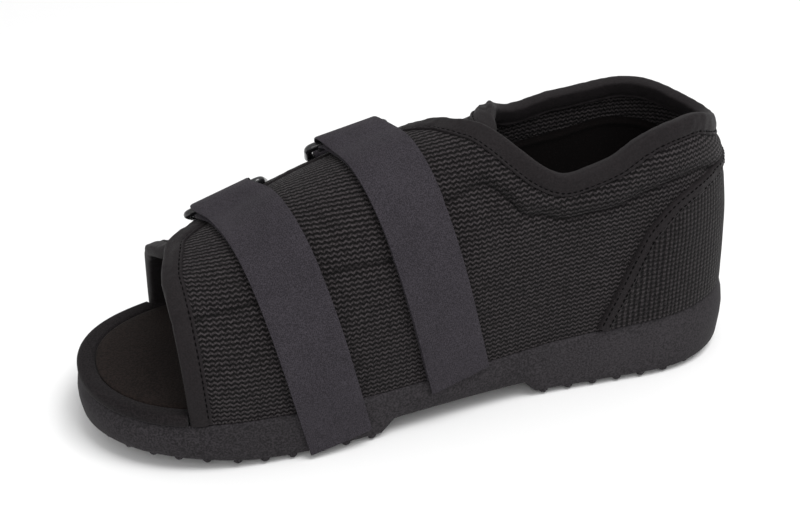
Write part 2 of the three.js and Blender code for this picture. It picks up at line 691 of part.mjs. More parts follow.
// The plain outline, and one for each side with two points close together where the board widens
const PLAIN_OUTLINE = halfOutline(BOARD_MIDDLE.map(xAt), 6, 9);

function boardOutline(side) {
  const outline = PLAIN_OUTLINE.map((point) => point.clone());
  const step = TOE_STEP[side];
  const after = outline.findIndex((point) => point.x > step);
  outline[after - 1].set(step, outlineHalf(step));
  outline[after].set(step + STEP_LENGTH, outlineHalf(step + STEP_LENGTH));
  return insetOutline(outline, () => 0);
}

const SIDES = [OUTER, INNER];
const boardFoot = (x) => soleTop(x) + FIT_GAP;
const boardEdge = (side, x) => (x > TOE_STEP[side] + STEP_LENGTH / 2 ? -BOARD_OVERHANG : INSIDE_WALL);
const RECESS_EDGE = BAND_WIDTH - BOARD_OVERHANG;

// A loop around the board's edge, and one around the recess that the insole lies in
function boardLoop(insetBy, height) {
  const halves = SIDES.map((side) => insetOutline(boardOutline(side), (x) => insetBy(boardEdge(side, x))));
  return soleLoop(halves, (x) => boardFoot(x) + height);
}

function recessLoop(gap, height) {
  const half = insetOutline(PLAIN_OUTLINE, () => RECESS_EDGE + gap);
  return soleLoop([half, half], (x) => boardFoot(x) + height);
}

const makeFootbed = () => loft([
  boardLoop((edge) => edge, 0),
  boardLoop((edge) => edge, BOARD_HEIGHT - BAND_ROUND),
  boardLoop((edge) => edge + BAND_ROUND * 0.35, BOARD_HEIGHT - BAND_ROUND * 0.3),
  boardLoop((edge) => Math.min(edge + BAND_ROUND, RECESS_EDGE - BAND_ROUND / 3), BOARD_HEIGHT),
  recessLoop(0, BOARD_HEIGHT - BAND_ROUND * 0.3),
  recessLoop(0, BOARD_HEIGHT - RECESS_DEPTH),
]);

function makeInsole() {
  const floor = BOARD_HEIGHT - RECESS_DEPTH + FIT_GAP;
  return loft([recessLoop(FIT_GAP, floor), recessLoop(FIT_GAP, floor + INSOLE_THICKNESS)]);
}

// Straps. foot is the station where the strap's middle crosses the foot of the wall, and bar the
// wrap of the ring's near bar; end is how far the outer layer reaches below the foot.
const FRONT_STRAP = { foot: xAt(0.672), bar: 112, end: -18 };
const REAR_STRAP = { foot: xAt(0.475), bar: 112, end: -3 };

const SLOPE = Math.tan(radians(STRAP_SLANT));
const LAYER = STRAP_THICKNESS / 2;
const LOWER_OFF = STRAP_GAP + LAYER;
const OUTER_OFF = LOWER_OFF + STRAP_THICKNESS + STRAP_GAP;
const FOLD_RADIUS = BAR_RADIUS + FIT_GAP + LAYER;
const OVER_TAPE = TAPE_OUT + FIT_GAP + LAYER;
const BAR_OFF = OVER_TAPE + FOLD_RADIUS;
const RING_PITCH = RING_DEPTH - 2 * BAR_RADIUS;

// Where a strap's middle line runs: girth to station
const strapStation = (strap, girth) => strap.foot + girth * SLOPE;

// Girth of a strap's middle line where it reaches a wrap angle
function strapGirth(strap, wrap) {
  let girth = INSTEP_HEIGHT;
  for (let i = 0; i < 8; i++) girth = girthAt(OUTER, strapStation(strap, girth), wrap);
  return girth;
}

// A point of a strap: girth along its middle line, distance across it, and distance out
function onStrap(strap, girth, across, off) {
  const lean = radians(STRAP_SLANT);
  const station = strapStation(strap, girth) + across * Math.cos(lean);
  return onWall(OUTER, station, girth - across * Math.sin(lean), off);
}

// A strip of the thickness and width given, along a path of girths and offs
function strip(path, width, place) {
  return loft(path.map(([girth, off], i) => {
    const [g0, o0] = path[Math.max(i - 1, 0)];
    const [g1, o1] = path[Math.min(i + 1, path.length - 1)];
    const along = new THREE.Vector2(g1 - g0, o1 - o0).normalize();
    const [dg, dOff] = [-along.y * LAYER, along.x * LAYER];
    return [
      place(girth + dg, -width / 2, off + dOff),
      place(girth + dg, width / 2, off + dOff),
      place(girth - dg, width / 2, off - dOff),
      place(girth - dg, -width / 2, off - dOff),
    ];
  }));
}

// Half a turn around a bar at the girth and off given, from its underside over to its top
function barTurn(girth, off, forward) {
  const turns = 6;
  return Array.from({ length: turns + 1 }, (_, i) => {
    const angle = (i / turns) * Math.PI;
    return [girth + forward * FOLD_RADIUS * Math.sin(angle), off - FOLD_RADIUS * Math.cos(angle)];
  });
}

// A ring's own directions: from the middle of its near bar along the bar, across and out. The ring
// stands a little off the flap and tilts down to its far bar.
function ringFrame(strap) {
  const girth = strapGirth(strap, strap.bar);
  const near = onStrap(strap, girth, 0, BAR_OFF + RING_LIFT);
  const start = onStrap(strap, girth, -RING_LENGTH / 3, BAR_OFF);
  const alongBar = onStrap(strap, girth, RING_LENGTH / 3, BAR_OFF).sub(start).normalize();
  const across = onTab(strap, girth + RING_PITCH, 0, BAR_OFF).sub(near);
  across.addScaledVector(alongBar, -across.dot(alongBar)).normalize();
  across.applyAxisAngle(alongBar, radians(RING_TILT));
  return { girth, near, alongBar, across, out: new THREE.Vector3().crossVectors(across, alongBar) };
}

function inRing({ near, alongBar, across, out }, x, y, z) {
  return near.clone().addScaledVector(alongBar, x).addScaledVector(across, y).addScaledVector(out, z);
}

const STRAP_STEPS = 15;
const RING_HOLD = [5, 16];

// Strap: up from the sole, over the near bar, and back down over itself
function makeStrap(strap) {
  const frame = ringFrame(strap);
  const bar = frame.girth;
  const foot = COUNTER_FOOT + (STRAP_WIDTH / 2) * Math.sin(radians(STRAP_SLANT));
  const path = [];
  for (let i = 0; i < STRAP_STEPS; i++) {
    const girth = lerp(foot, bar, i / STRAP_STEPS);
    path.push([girth, lerp(OVER_TAPE, LOWER_OFF, smooth(bar - girth, BINDING_WIDTH / 2, BINDING_WIDTH))]);
  }
  path.push(...barTurn(bar, BAR_OFF, 1));
  for (const share of [0.35, 0.7, 1]) {
    path.push([bar - FOLD_LENGTH * share, lerp(BAR_OFF + FOLD_RADIUS, OUTER_OFF, smooth(share, 0, 1))]);
  }
  for (let i = 1; i <= STRAP_STEPS; i++) {
    path.push([lerp(bar - FOLD_LENGTH, strap.end, i / STRAP_STEPS), OUTER_OFF]);
  }
  return strip(path, STRAP_WIDTH, (girth, across, off) => {
    const held = inRing(frame, across, girth - bar, off - BAR_OFF);
    return held.lerp(onStrap(strap, girth, across, off), smooth(bar - girth, RING_HOLD[0], RING_HOLD[1]));
  });
}

// A point of a tab, in the strap's own measures carried on over the ridge and down the inner side.
// off is counted from the last, or from the inner flap where sunk is 1.
function onTab(strap, girth, across, off, sunk = 0) {
  const start = strapGirth(strap, strap.bar) + RING_PITCH;
  const settled = smooth(girth, start, start + TAB_WIDTH);
  const lean = radians(STRAP_SLANT) * (1 - settled);
  const drift = (girth - start) * SLOPE * (1 - settled);
  const station = strapStation(strap, start) + drift + across * Math.cos(lean);
  const half = girthAt(OUTER, station, 90);
  const innerGirth = Math.max(2 * half - girth + across * Math.sin(lean), COUNTER_FOOT);
  const { out } = surfaceAxes(INNER, station, innerGirth);
  const rise = off - sunk * underlap(INNER, station, innerGirth);
  return wrapPoint(INNER, station, innerGirth).addScaledVector(out, rise);
}

const TAB_STEPS = 11;
const TAB_HOLD = 5;

// Ring tab: webbing from the sole up the inner side, around the far bar and back on itself
function makeTab(strap) {
  const frame = ringFrame(strap);
  const bar = frame.girth + RING_PITCH;
  const foot = 2 * girthAt(OUTER, strapStation(strap, bar), 90) - COUNTER_FOOT;
  const path = [];
  for (let i = 0; i <= TAB_STEPS; i++) {
    path.push([lerp(foot, bar + TAB_RISE, i / TAB_STEPS), TAB_GAP + LAYER]);
  }
  path.push(...barTurn(bar, BAR_OFF, -1));
  const tailOff = TAB_GAP + LAYER + STRAP_THICKNESS + STRAP_GAP;
  for (const share of [0.35, 0.7, 1]) {
    path.push([bar + TAB_TAIL * share, lerp(BAR_OFF + FOLD_RADIUS, tailOff, smooth(share, 0, 1))]);
  }
  return strip(path, TAB_WIDTH, (girth, across, off) => {
    const held = inRing(frame, across, girth - frame.girth, off - BAR_OFF);
    const settled = smooth(girth - bar, TAB_HOLD, TAB_RISE);
    return held.lerp(onTab(strap, girth, across, off, settled), settled);
  });
}

// Ring: a moulded loop whose near bar holds the strap and whose far bar lies in the tab
function makeRing(strap) {
  const frame = ringFrame(strap);
  const [half, depth, round] = [RING_LENGTH / 2 - BAR_RADIUS, RING_PITCH, RING_CORNER - BAR_RADIUS];
  const loop = [];
  for (let i = 0; i < 4; i++) {
    const [x, y] = [(i === 1 || i === 2 ? -1 : 1) * (half - round), i < 2 ? depth - round : round];
    for (let k = 0; k <= RING_STEPS; k++) {
      const angle = (i + k / RING_STEPS) * HALF_TURN;
      loop.push(new THREE.Vector2(x + round * Math.cos(angle), y + round * Math.sin(angle)));
    }
  }
  return loft(loop.map((point, i) => {
    const along = loop[(i + 1) % loop.length].clone().sub(loop.at(i - 1)).normalize();
    return Array.from({ length: RING_SIDES }, (_, k) => {
      const angle = ((k + 0.5) / RING_SIDES) * 2 * Math.PI;
      const side = BAR_RADIUS * Math.cos(angle);
      const rise = BAR_RADIUS * Math.sin(angle);
      return inRing(frame, point.x + along.y * side, point.y - along.x * side, rise);
    });
  }), true);
}

const FINISH = {
  outsole: { color: 0x3a393d, roughness: 0.9 },
  footbed: { color: 0x2b2a2d, roughness: 0.75 },
  insole: { color: 0x2a2522, roughness: 0.95 },
  upper: { color: 0x262528, roughness: 0.95 },
  tape: { color: 0x323136, roughness: 0.7 },
  counter: { color: 0x2c2b2f, roughness: 0.95 },
  strap: { color: 0x45444b, roughness: 0.9 },
  ring: { color: 0x101012, roughness: 0.3 },
};

const shoe = new THREE.Group();

function addPiece(name, geometry, finish) {
  const material = new THREE.MeshStandardMaterial({ ...FINISH[finish], metalness: 0 });
  const piece = new THREE.Mesh(geometry, material);
  piece.name = name;
  shoe.add(piece);
}

addPiece('outsole', makeOutsole(), 'outsole');
addPiece('footbed', makeFootbed(), 'footbed');
addPiece('insole', makeInsole(), 'insole');
addPiece('upper', makeUpper(), 'upper');
for (const { name, geometry } of makeBindings()) addPiece(name, geometry, 'tape');
addPiece('heel_counter', makeCounter(), 'counter');
addPiece('counter_tape', makeCounterTape(), 'tape');
addPiece('strap_front', makeStrap(FRONT_STRAP), 'strap');
addPiece('strap_rear', makeStrap(REAR_STRAP), 'strap');
addPiece('ring_front', makeRing(FRONT_STRAP), 'ring');
addPiece('ring_rear', makeRing(REAR_STRAP), 'ring');
addPiece('ring_tab_front', makeTab(FRONT_STRAP), 'strap');
addPiece('ring_tab_rear', makeTab(REAR_STRAP), 'strap');

export default shoe;
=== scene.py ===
import math
from bisect import bisect_right
from functools import lru_cache

import bmesh
import bpy
from bpy.props import FloatProperty, FloatVectorProperty, PointerProperty
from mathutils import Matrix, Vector, noise


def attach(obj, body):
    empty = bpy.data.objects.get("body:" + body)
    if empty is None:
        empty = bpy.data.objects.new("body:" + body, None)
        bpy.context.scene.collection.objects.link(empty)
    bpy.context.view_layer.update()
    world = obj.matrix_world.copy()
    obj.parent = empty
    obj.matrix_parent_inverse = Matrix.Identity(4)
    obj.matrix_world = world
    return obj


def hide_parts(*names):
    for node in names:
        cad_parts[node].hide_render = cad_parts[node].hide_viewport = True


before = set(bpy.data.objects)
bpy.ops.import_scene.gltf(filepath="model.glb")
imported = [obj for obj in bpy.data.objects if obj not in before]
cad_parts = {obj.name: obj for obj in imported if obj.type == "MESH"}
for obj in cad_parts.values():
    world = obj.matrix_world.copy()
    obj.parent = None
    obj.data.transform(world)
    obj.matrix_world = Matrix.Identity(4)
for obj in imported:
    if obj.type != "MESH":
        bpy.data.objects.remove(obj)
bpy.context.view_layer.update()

bl_info = {
    "name": "Post operative shoe",
    "version": (1, 0, 0),
    "blender": (4, 5, 0),
    "location": "3D View > Sidebar > Shoe",
    "description": "Upper, sole, straps and trims of a post operative shoe",
    "category": "Add Mesh",
}

MM = 0.001
OUTER = 1
INNER = -1

# Last and sole
SOLE_LENGTH = 300
SEAT_TO_BACK = 44
HEEL_WIDTH = 77.6
BALL_WIDTH = 107.4
INSTEP_HEIGHT = 120
SOLE_HEIGHT = 25
STUD_HEIGHT = 1.8
LIP = 1.2
FIT_GAP = 0.3

# Upper and its trims
WALL = 3
FLAP_GAP = 3.5
BINDING_WIDTH = 8
TAPE_OUT = 1.5
PAD_RISE = 6
COLLAR_PAD = 2
PANEL_PAD = 0.9
COUNTER_GAP = 0.8
COUNTER_THICKNESS = 1.2
COUNTER_HEIGHT = 64
COUNTER_TAPE_WIDTH = 6
COUNTER_TAPE_THICKNESS = 1.5

# Board and insole
BOARD_HEIGHT = 4.7
BOARD_OVERHANG = 0.9
BAND_WIDTH = 7.9
RECESS_DEPTH = 2.6
INSOLE_THICKNESS = 2

# Straps, rings and tabs
STRAP_WIDTH = 28
STRAP_THICKNESS = 1
STRAP_GAP = 0.8
STRAP_SLANT = math.radians(12.5)
FOLD_LENGTH = 17
BAR_RADIUS = 1.8
RING_LENGTH = 39.5
RING_DEPTH = 16
RING_CORNER = 4.5
TAB_WIDTH = 30
TAB_GAP = 1.3
TAB_RISE = 16
TAB_TAIL = 14

QUARTER_TURN = math.pi / 2


def x_at(share):
    return share * SOLE_LENGTH - SEAT_TO_BACK


def share_at(x):
    return (x + SEAT_TO_BACK) / SOLE_LENGTH


def lerp(a, b, t):
    return a + (b - a) * t


def smooth(value, low, high):
    t = min(max((value - low) / (high - low), 0), 1)
    return t * t * (3 - 2 * t)


def bump(value, middle, width):
    """A soft hill of height 1 around a middle."""
    return math.exp(-(((value - middle) / width) ** 2))


def table(columns, *rows):
    """A short table as rows with named columns."""
    names = columns.split()
    return [dict(zip(names, row)) for row in rows]


def curve(rows, column):
    """A smooth curve through one column of rows that are ordered by their station."""
    at = [row["at"] for row in rows]
    values = [row[column] for row in rows]
    last = len(rows) - 1

    def slope(i):
        low, high = max(i - 1, 0), min(i + 1, last)
        return (values[high] - values[low]) / (at[high] - at[low])

    def value(x):
        if x <= at[0]:
            return values[0]
        if x >= at[last]:
            return values[last]
        i = bisect_right(at, x) - 1
        span = at[i + 1] - at[i]
        t = (x - at[i]) / span
        lead = t * (1 - t) * (1 - t) * span
        trail = t * t * (t - 1) * span
        return lerp(values[i], values[i + 1], t * t * (3 - 2 * t)) + lead * slope(i) + trail * slope(i + 1)

    return value


HEEL_CENTRE = x_at(0.163)
WAIST = x_at(0.42)
WAIST_START = x_at(0.302)
BALL_START = x_at(0.74)
TOE_START = x_at(0.767)
TOE_TIP = x_at(1)
HEEL_REACH = HEEL_CENTRE - x_at(0)
TOE_POWER = 2 / 2.15
HEEL_TURN = 43
HEEL_BACK = HEEL_CENTRE - HEEL_TURN * QUARTER_TURN

SOLE_TOP = table(
    "at top",
    (0, 1.4),
    (0.15, 1.268),
    (0.3, 1.124),
    (0.42, 0.988),
    (0.55, 0.944),
    (0.68, 0.936),
    (0.9, 0.936),
    (1, 1.012),
)

SOLE_UNDER = table(
    "at rise",
    (0, 0.14),
    (0.03, 0.07),
    (0.065, 0.02),
    (0.107, 0),
    (0.342, 0),
    (0.36, 0.235),
    (0.573, 0.235),
    (0.593, 0),
    (0.747, 0),
    (0.787, 0.025),
    (0.84, 0.11),
    (0.9, 0.19),
    (0.96, 0.245),
    (1, 0.26),
)

LAST = table(
    "at ridge inner_ridge fullness",
    (-0.07, 1.3, 1.3, 2.05),
    (0, 1.3, 1.3, 2.2),
    (0.1, 1.3, 1.3, 2.65),
    (0.24, 1.25, 1.25, 3.2),
    (0.34, 1.167, 1.11, 3),
    (0.38, 1.115, 1.055, 2.8),
    (0.42, 1.065, 1.045, 2.6),
    (0.46, 1.02, 1.02, 2.45),
    (0.5, 0.99, 0.99, 2.35),
    (0.56, 0.955, 0.955, 2.25),
    (0.65, 0.878, 0.878, 2.15),
    (0.695, 0.828, 0.828, 2.15),
    (0.75, 0.742, 0.742, 2.2),
    (0.8, 0.703, 0.703, 2.3),
    (0.85, 0.668, 0.668, 2.45),
    (0.9, 0.64, 0.64, 2.5),
)

# Upper edge of each side, from the toe to the back: wrap angles of the edge and of the seam under the
# collar pad in degrees, and where the line to it starts at the foot, if that is at another station
OUTER_EDGE = table(
    "edge wrap seam foot",
    (0.874, 70, 46, 0.862),
    (0.869, 80, 46, 0.857),
    (0.857, 92, 46, 0.847),
    (0.838, 99, 46, 0.833),
    (0.812, 105, 46),
    (0.77, 113, 46),
    (0.72, 116, 45),
    (0.67, 116, 43),
    (0.62, 116, 41),
    (0.57, 115, 38),
    (0.53, 112, 44),
    (0.495, 105, 49),
    (0.465, 96, 50),
    (0.452, 91.5, 50),
    (0.44, 87, 50),
    (0.427, 81.5, 49),
    (0.415, 76, 46),
    (0.393, 63, 38),
    (0.372, 52, 30),
    (0.345, 41, 26),
    (0.31, 33.5, 21.5),
    (0.272, 32, 20),
    (0.235, 33, 19.5),
    (0.198, 37.1, 21.6),
    (0.163, 40.1, 23.7),
    (0.127, 41.5, 25.7),
    (0.092, 42.5, 27.2),
    (0.057, 42.7, 27.5),
    (0.022, 41.7, 27),
    (-0.0125, 40.6, 26),
    (-0.0445, 39.8, 25),
)

INNER_EDGE = table(
    "edge wrap seam foot",
    (0.876, 44, 36, 0.874),
    (0.87, 56, 36, 0.869),
    (0.856, 70, 37, 0.857),
    (0.838, 86, 38, 0.842),
    (0.829, 95, 38.5, 0.833),
    (0.818, 102, 39, 0.822),
    (0.795, 110, 40),
    (0.75, 112, 40),
    (0.7, 112, 40),
    (0.65, 112, 40),
    (0.6, 112, 40),
    (0.55, 112, 40),
    (0.5, 112, 38),
    (0.455, 112, 36),
    (0.42, 111, 34),
    (0.402, 106, 32, 0.398),
    (0.389, 95, 31, 0.384),
    (0.377, 81, 30, 0.373),
    (0.365, 66, 29, 0.362),
    (0.351, 54, 28, 0.35),
    (0.332, 46, 26),
    (0.305, 40.5, 24),
    (0.272, 37.5, 22),
    (0.235, 35.8, 21),
    (0.198, 36, 22.1),
    (0.163, 37.3, 23.7),
    (0.127, 38.6, 24.7),
    (0.092, 39.1, 25.2),
    (0.057, 39.3, 25.5),
    (0.022, 39.3, 25.5),
    (-0.0125, 39.2, 25.4),
    (-0.0445, 39.3, 25),
)

COUNTER = table(
    "at rise",
    (0.249, 0.03),
    (0.23, 0.22),
    (0.21, 0.43),
    (0.196, 0.57),
    (0.183, 0.7),
    (0.163, 0.81),
    (0.14, 0.89),
    (0.11, 0.945),
    (0.07, 0.985),
    (0.03, 1),
    (-0.01, 1),
    (-0.0445, 1),
)

top_curve = curve(SOLE_TOP, "top")


def sole_top(x):
    return SOLE_HEIGHT * top_curve(share_at(x))


def sole_under(x):
    share = min(max(share_at(x), 0), 1)
    i = next(i for i in range(1, len(SOLE_UNDER)) if SOLE_UNDER[i]["at"] >= share)
    low, high = SOLE_UNDER[i - 1], SOLE_UNDER[i]
    t = (share - low["at"]) / (high["at"] - low["at"])
    return STUD_HEIGHT + SOLE_HEIGHT * lerp(low["rise"], high["rise"], t)


def outline_half(x):
    """Half the sole's width in front of the heel's round."""
    if x < TOE_START:
        return lerp(HEEL_WIDTH, BALL_WIDTH, smooth(x, WAIST_START, BALL_START)) / 2
    along = min((x - TOE_START) / (TOE_TIP - TOE_START), 1)
    return BALL_WIDTH / 2 * (1 - along ** (2 / TOE_POWER)) ** (TOE_POWER / 2)


# The last's surface, as half sections at stations that turn around the heel
SECTION_STEPS = 60
ridge_curve = {OUTER: curve(LAST, "ridge"), INNER: curve(LAST, "inner_ridge")}
fullness_curve = curve(LAST, "fullness")


@lru_cache(maxsize=None)
def section(side, station):
    turn = max(HEEL_CENTRE - station, 0) / HEEL_TURN
    centre = max(station, HEEL_CENTRE)
    outward = (-math.sin(turn), side * math.cos(turn))
    across = HEEL_WIDTH / 2 - LIP
    back = HEEL_REACH - LIP
    heel_reach = across * back / math.hypot(back * math.cos(turn), across * math.sin(turn))
    reach = heel_reach if turn > 0 else outline_half(station) - LIP
    foot = sole_top(centre + outward[0] * reach) + FIT_GAP
    ridge = INSTEP_HEIGHT * ridge_curve[side](share_at(station))
    power = 2 / fullness_curve(share_at(station))
    angles = [QUARTER_TURN * smooth(i, 0, SECTION_STEPS) for i in range(SECTION_STEPS + 1)]
    girths = [0]
    before = (reach, 0)
    for angle in angles[1:]:
        point = (reach * max(math.cos(angle), 0) ** power, (ridge - foot) * math.sin(angle) ** power)
        girths.append(girths[-1] + math.dist(point, before))
        before = point
    return centre, outward, reach, foot, ridge, power, angles, girths


def look_up(value, given, found):
    i = min(max(bisect_right(given, value), 1), len(given) - 1)
    return lerp(found[i - 1], found[i], (value - given[i - 1]) / (given[i] - given[i - 1]))


def girth_at(side, station, wrap):
    """Girth from the wall's foot to a wrap angle in degrees, where 90 is the ridge."""
    *_, angles, girths = section(side, station)
    girth = look_up(math.radians(min(wrap, 180 - wrap)), angles, girths)
    return 2 * girths[-1] - girth if wrap > 90 else girth


def wrap_point(side, station, girth):
    centre, outward, reach, foot, ridge, power, angles, girths = section(side, station)
    half = girths[-1]
    if girth < 0:
        return Vector((centre + outward[0] * reach, outward[1] * reach, foot + girth))
    angle = look_up(min(girth, 2 * half - girth), girths, angles)
    across = reach * max(math.cos(angle), 0) ** power * (-1 if girth > half else 1)
    rise = (ridge - foot) * max(math.sin(angle), 0) ** power
    return Vector((centre + outward[0] * across, outward[1] * across, foot + rise))


def surface_axes(side, station, girth):
    """Directions along the stations, along the girth, and straight out."""
    step = 0.4
    along = wrap_point(side, station + step, girth) - wrap_point(side, station - step, girth)
    around = wrap_point(side, station, girth + step) - wrap_point(side, station, girth - step)
    out = around.cross(along) * side
    return along / (2 * step), around / (2 * step), out.normalized()


UNDERLAP_START = x_at(0.33)
UNDERLAP_END = x_at(0.41)
UNDERLAP_WRAPS = (34, 62)


def underlap(side, station, girth):
    """How far the inner flap lies below the last's surface, under the outer flap."""
    if side == OUTER or station < UNDERLAP_START:
        return 0
    low, high = (girth_at(side, station, wrap) for wrap in UNDERLAP_WRAPS)
    return (WALL + FLAP_GAP) * smooth(station, UNDERLAP_START, UNDERLAP_END) * smooth(girth, low, high)


EDGES = {OUTER: OUTER_EDGE, INNER: INNER_EDGE}


def line_curve(side, column):
    rows = [{"at": row["edge"], column: row[column]} for row in EDGES[side]]
    return curve(sorted(rows, key=lambda row: row["at"]), column)


seam_wrap = {side: line_curve(side, "seam") for side in EDGES}
edge_wrap = {side: line_curve(side, "wrap") for side in EDGES}


PAD_THINS = (x_at(0.37), x_at(0.47))


def pillow(depth):
    """Height share of a pad at a depth from its edge."""
    return math.sin(min(max(depth / PAD_RISE, 0), 1) * QUARTER_TURN)


@lru_cache(maxsize=None)
def pad_limits(side, station):
    share = share_at(station)
    seam = girth_at(side, station, seam_wrap[side](share))
    edge = girth_at(side, station, edge_wrap[side](share)) - BINDING_WIDTH
    panel = PANEL_PAD if side == OUTER else 0
    return seam, edge, lerp(COLLAR_PAD, panel, smooth(station, *PAD_THINS))


def padding(side, station, girth):
    seam, edge, height = pad_limits(side, station)
    return height * pillow(girth - seam) * pillow(edge - girth)


SEAM_DIP = 0.7
SEAM_SPREAD = 1.3
FIRM_FOOT = 9

# Places where the soft wall is pulled in or bulges: side, station, girth, how far each way it
# spreads along the stations and the girth, its lean, and how far out it stands
CREASES = table(
    "side station girth spread rise lean out",
    (OUTER, 70, 62, 5, 16, 0.35, 0.9),
    (OUTER, 80, 66, 4, 18, 0.4, -1.1),
    (OUTER, 90, 70, 5, 16, 0.45, 0.7),
    (OUTER, 30, 30, 20, 7, 0.0, -0.6),
    (OUTER, -8, 40, 12, 9, -0.2, 0.5),
    (OUTER, 150, 76, 4, 16, 0.5, -0.8),
    (OUTER, 143, 70, 4, 18, 0.4, 0.7),
    (OUTER, 197, 52, 4, 14, 0.3, -0.6),
    (OUTER, 172, 96, 14, 16, 0.22, 1.2),
    (OUTER, 128, 84, 4, 20, 0.4, -0.8),
    (INNER, 62, 48, 6, 16, 0.3, 0.8),
    (INNER, 92, 58, 5, 18, 0.2, -0.7),
    (INNER, 150, 46, 6, 16, 0.2, 0.6),
    (INNER, -20, 44, 10, 8, 0.2, 0.5),
)


def slack(side, station, girth):
    """Soft hollows and bulges of the wall, in millimetres."""
    out = 0.35 * noise.noise(Vector((station / 28, girth / 22, side * 3.7)))
    for row in CREASES:
        if row["side"] == side:
            along = station - row["station"] - row["lean"] * (girth - row["girth"])
            out += row["out"] * bump(along, 0, row["spread"]) * bump(girth, row["girth"], row["rise"])
    above = girth - pad_limits(side, station)[0]
    return out * smooth(girth, 0, FIRM_FOOT) - SEAM_DIP * bump(above, 0, SEAM_SPREAD)


def on_wall(side, station, girth, off, pad=1.0):
    """A point on the wall, off its outer face, over a share of the padding."""
    out = surface_axes(side, station, girth)[2]
    padded = padding(side, station, girth) * pad if off > -WALL / 2 else 0
    rise = off + padded + slack(side, station, girth) - underlap(side, station, girth)
    return wrap_point(side, station, girth) + out * rise


# The wall's lines, numbered from the outer toe edge around the heel to the inner toe edge. Lines
# are placed by a run that goes on past the back of the heel.
def run_of(side, share):
    return x_at(share) if side == OUTER else 2 * HEEL_BACK - x_at(share)


def side_of(run):
    return (OUTER, run) if run > HEEL_BACK else (INNER, 2 * HEEL_BACK - run)


def line_rows():
    rows = []
    for side, edge in ((OUTER, OUTER_EDGE), (INNER, INNER_EDGE[::-1])):
        for row in edge:
            top = run_of(side, row["edge"])
            foot = run_of(side, row.get("foot", row["edge"]))
            rows.append({**row, "at": len(rows), "foot": foot, "top": top})
    return rows


LINES = line_rows()
LAST_LINE = len(LINES) - 1
TAPE_ENDS = (4, len(OUTER_EDGE) + 12, len(LINES) - 7)
line_foot, line_top, line_wrap, line_seam = (curve(LINES, c) for c in ("foot", "top", "wrap", "seam"))


@lru_cache(maxsize=None)
def wall_line(number):
    """A line up the wall: run at the foot, run at the edge, and girths of its seam and its edge."""
    top = line_top(number)
    side, station = side_of(top)
    edge = girth_at(side, station, line_wrap(number))
    return line_foot(number), top, girth_at(side, station, line_seam(number)), edge


def wall_place(number, girth):
    foot, top, _, edge = wall_line(number)
    side, station = side_of(lerp(foot, top, girth / edge))
    return side, station, girth


def edge_path():
    """The wall's edge, up the outer toe edge, around, and down the inner toe edge, and the numbers of
    the places where one tape ends and the next begins."""
    rise = 24
    path = [wall_place(0, wall_line(0)[3] * i / rise) for i in range(rise)]
    marks = [0]
    steps = 7
    for i in range(LAST_LINE * steps + 1):
        number = i / steps
        if number in TAPE_ENDS:
            marks.append(len(path))
        path.append(wall_place(number, wall_line(number)[3]))
    path += [wall_place(LAST_LINE, wall_line(LAST_LINE)[3] * (1 - i / rise)) for i in range(1, rise + 1)]
    marks.append(len(path) - 1)
    return path, marks


def path_frames(path):
    """At each place of a path on the wall: the direction along it, and inward across the wall."""
    points = [wrap_point(*place) for place in path]
    frames = []
    for i, place in enumerate(path):
        reach = 2
        before, after = points[max(i - reach, 0)], points[min(i + reach, len(path) - 1)]
        along = (after - before).normalized()
        inward = along.cross(surface_axes(*place)[2]).normalized()
        frames.append((along, inward))
    return frames


def inset_place(place, inward, depth):
    """The place that lies a depth inward from a place on a path."""
    side, station, girth = place
    along, around, _ = surface_axes(*place)
    a, b, c = along.dot(along), along.dot(around), around.dot(around)
    p, q = inward.dot(along), inward.dot(around)
    scale = depth / (a * c - b * b)
    return side, station + (p * c - q * b) * scale, max(girth + (q * a - p * b) * scale, 0)


def sweep_point(place, inward, depth, off, pad=1.0):
    """A point of a section that is swept along a path: depth inward from it, off out from the wall."""
    point = on_wall(*inset_place(place, inward, max(depth, 0)), off, pad)
    return point + inward * min(depth, 0)


# Meshes
def finish_mesh(name, bm, materials, sharp=50, node=None):
    """Makes a piece of a bmesh whose coordinates are millimetres. It stands for a node of the frame, if
    one is named, and its edges are sharp where they turn by more than an angle in degrees."""
    bmesh.ops.scale(bm, vec=(MM, MM, MM), verts=bm.verts)
    bmesh.ops.recalc_face_normals(bm, faces=bm.faces)
    mesh = bpy.data.meshes.new(name)
    for face in bm.faces:
        face.smooth = True
    bm.to_mesh(mesh)
    bm.free()
    mesh.set_sharp_from_angle(angle=math.radians(sharp))
    for material in materials:
        mesh.materials.append(material)
    piece = bpy.data.objects.new(name, mesh)
    bpy.context.collection.objects.link(piece)
    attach(piece, "root")
    if node:
        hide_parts(node)


def grid(bm, columns, rows, place, uv=None, material=None, seam=None):
    """A grid of faces whose corner (i, j) lies at place(i, j), with its pattern laid out by uv(i, j).
    seam(i, j) gives a corner's distance above the seam and how strong the ribs along it are."""
    made = bmesh.ops.create_grid(bm, x_segments=columns, y_segments=rows, size=0.5)["verts"]
    layer = bm.loops.layers.uv.get("UVMap") or bm.loops.layers.uv.new("UVMap")
    seams = bm.loops.layers.uv.new("Seam") if seam else None
    numbers = {}
    for vert in made:
        numbers[vert] = (round((vert.co.x + 0.5) * columns), round((vert.co.y + 0.5) * rows))
    for face in {face for vert in made for face in vert.link_faces}:
        corners = [numbers[loop.vert] for loop in face.loops]
        for loop, corner in zip(face.loops, corners):
            loop[layer].uv = uv(*corner) if uv else (0, 0)
            if seam:
                loop[seams].uv = seam(*corner)
        if material:
            face.material_index = material(min(c[0] for c in corners), min(c[1] for c in corners))
    for vert, number in numbers.items():
        vert.co = place(*number)


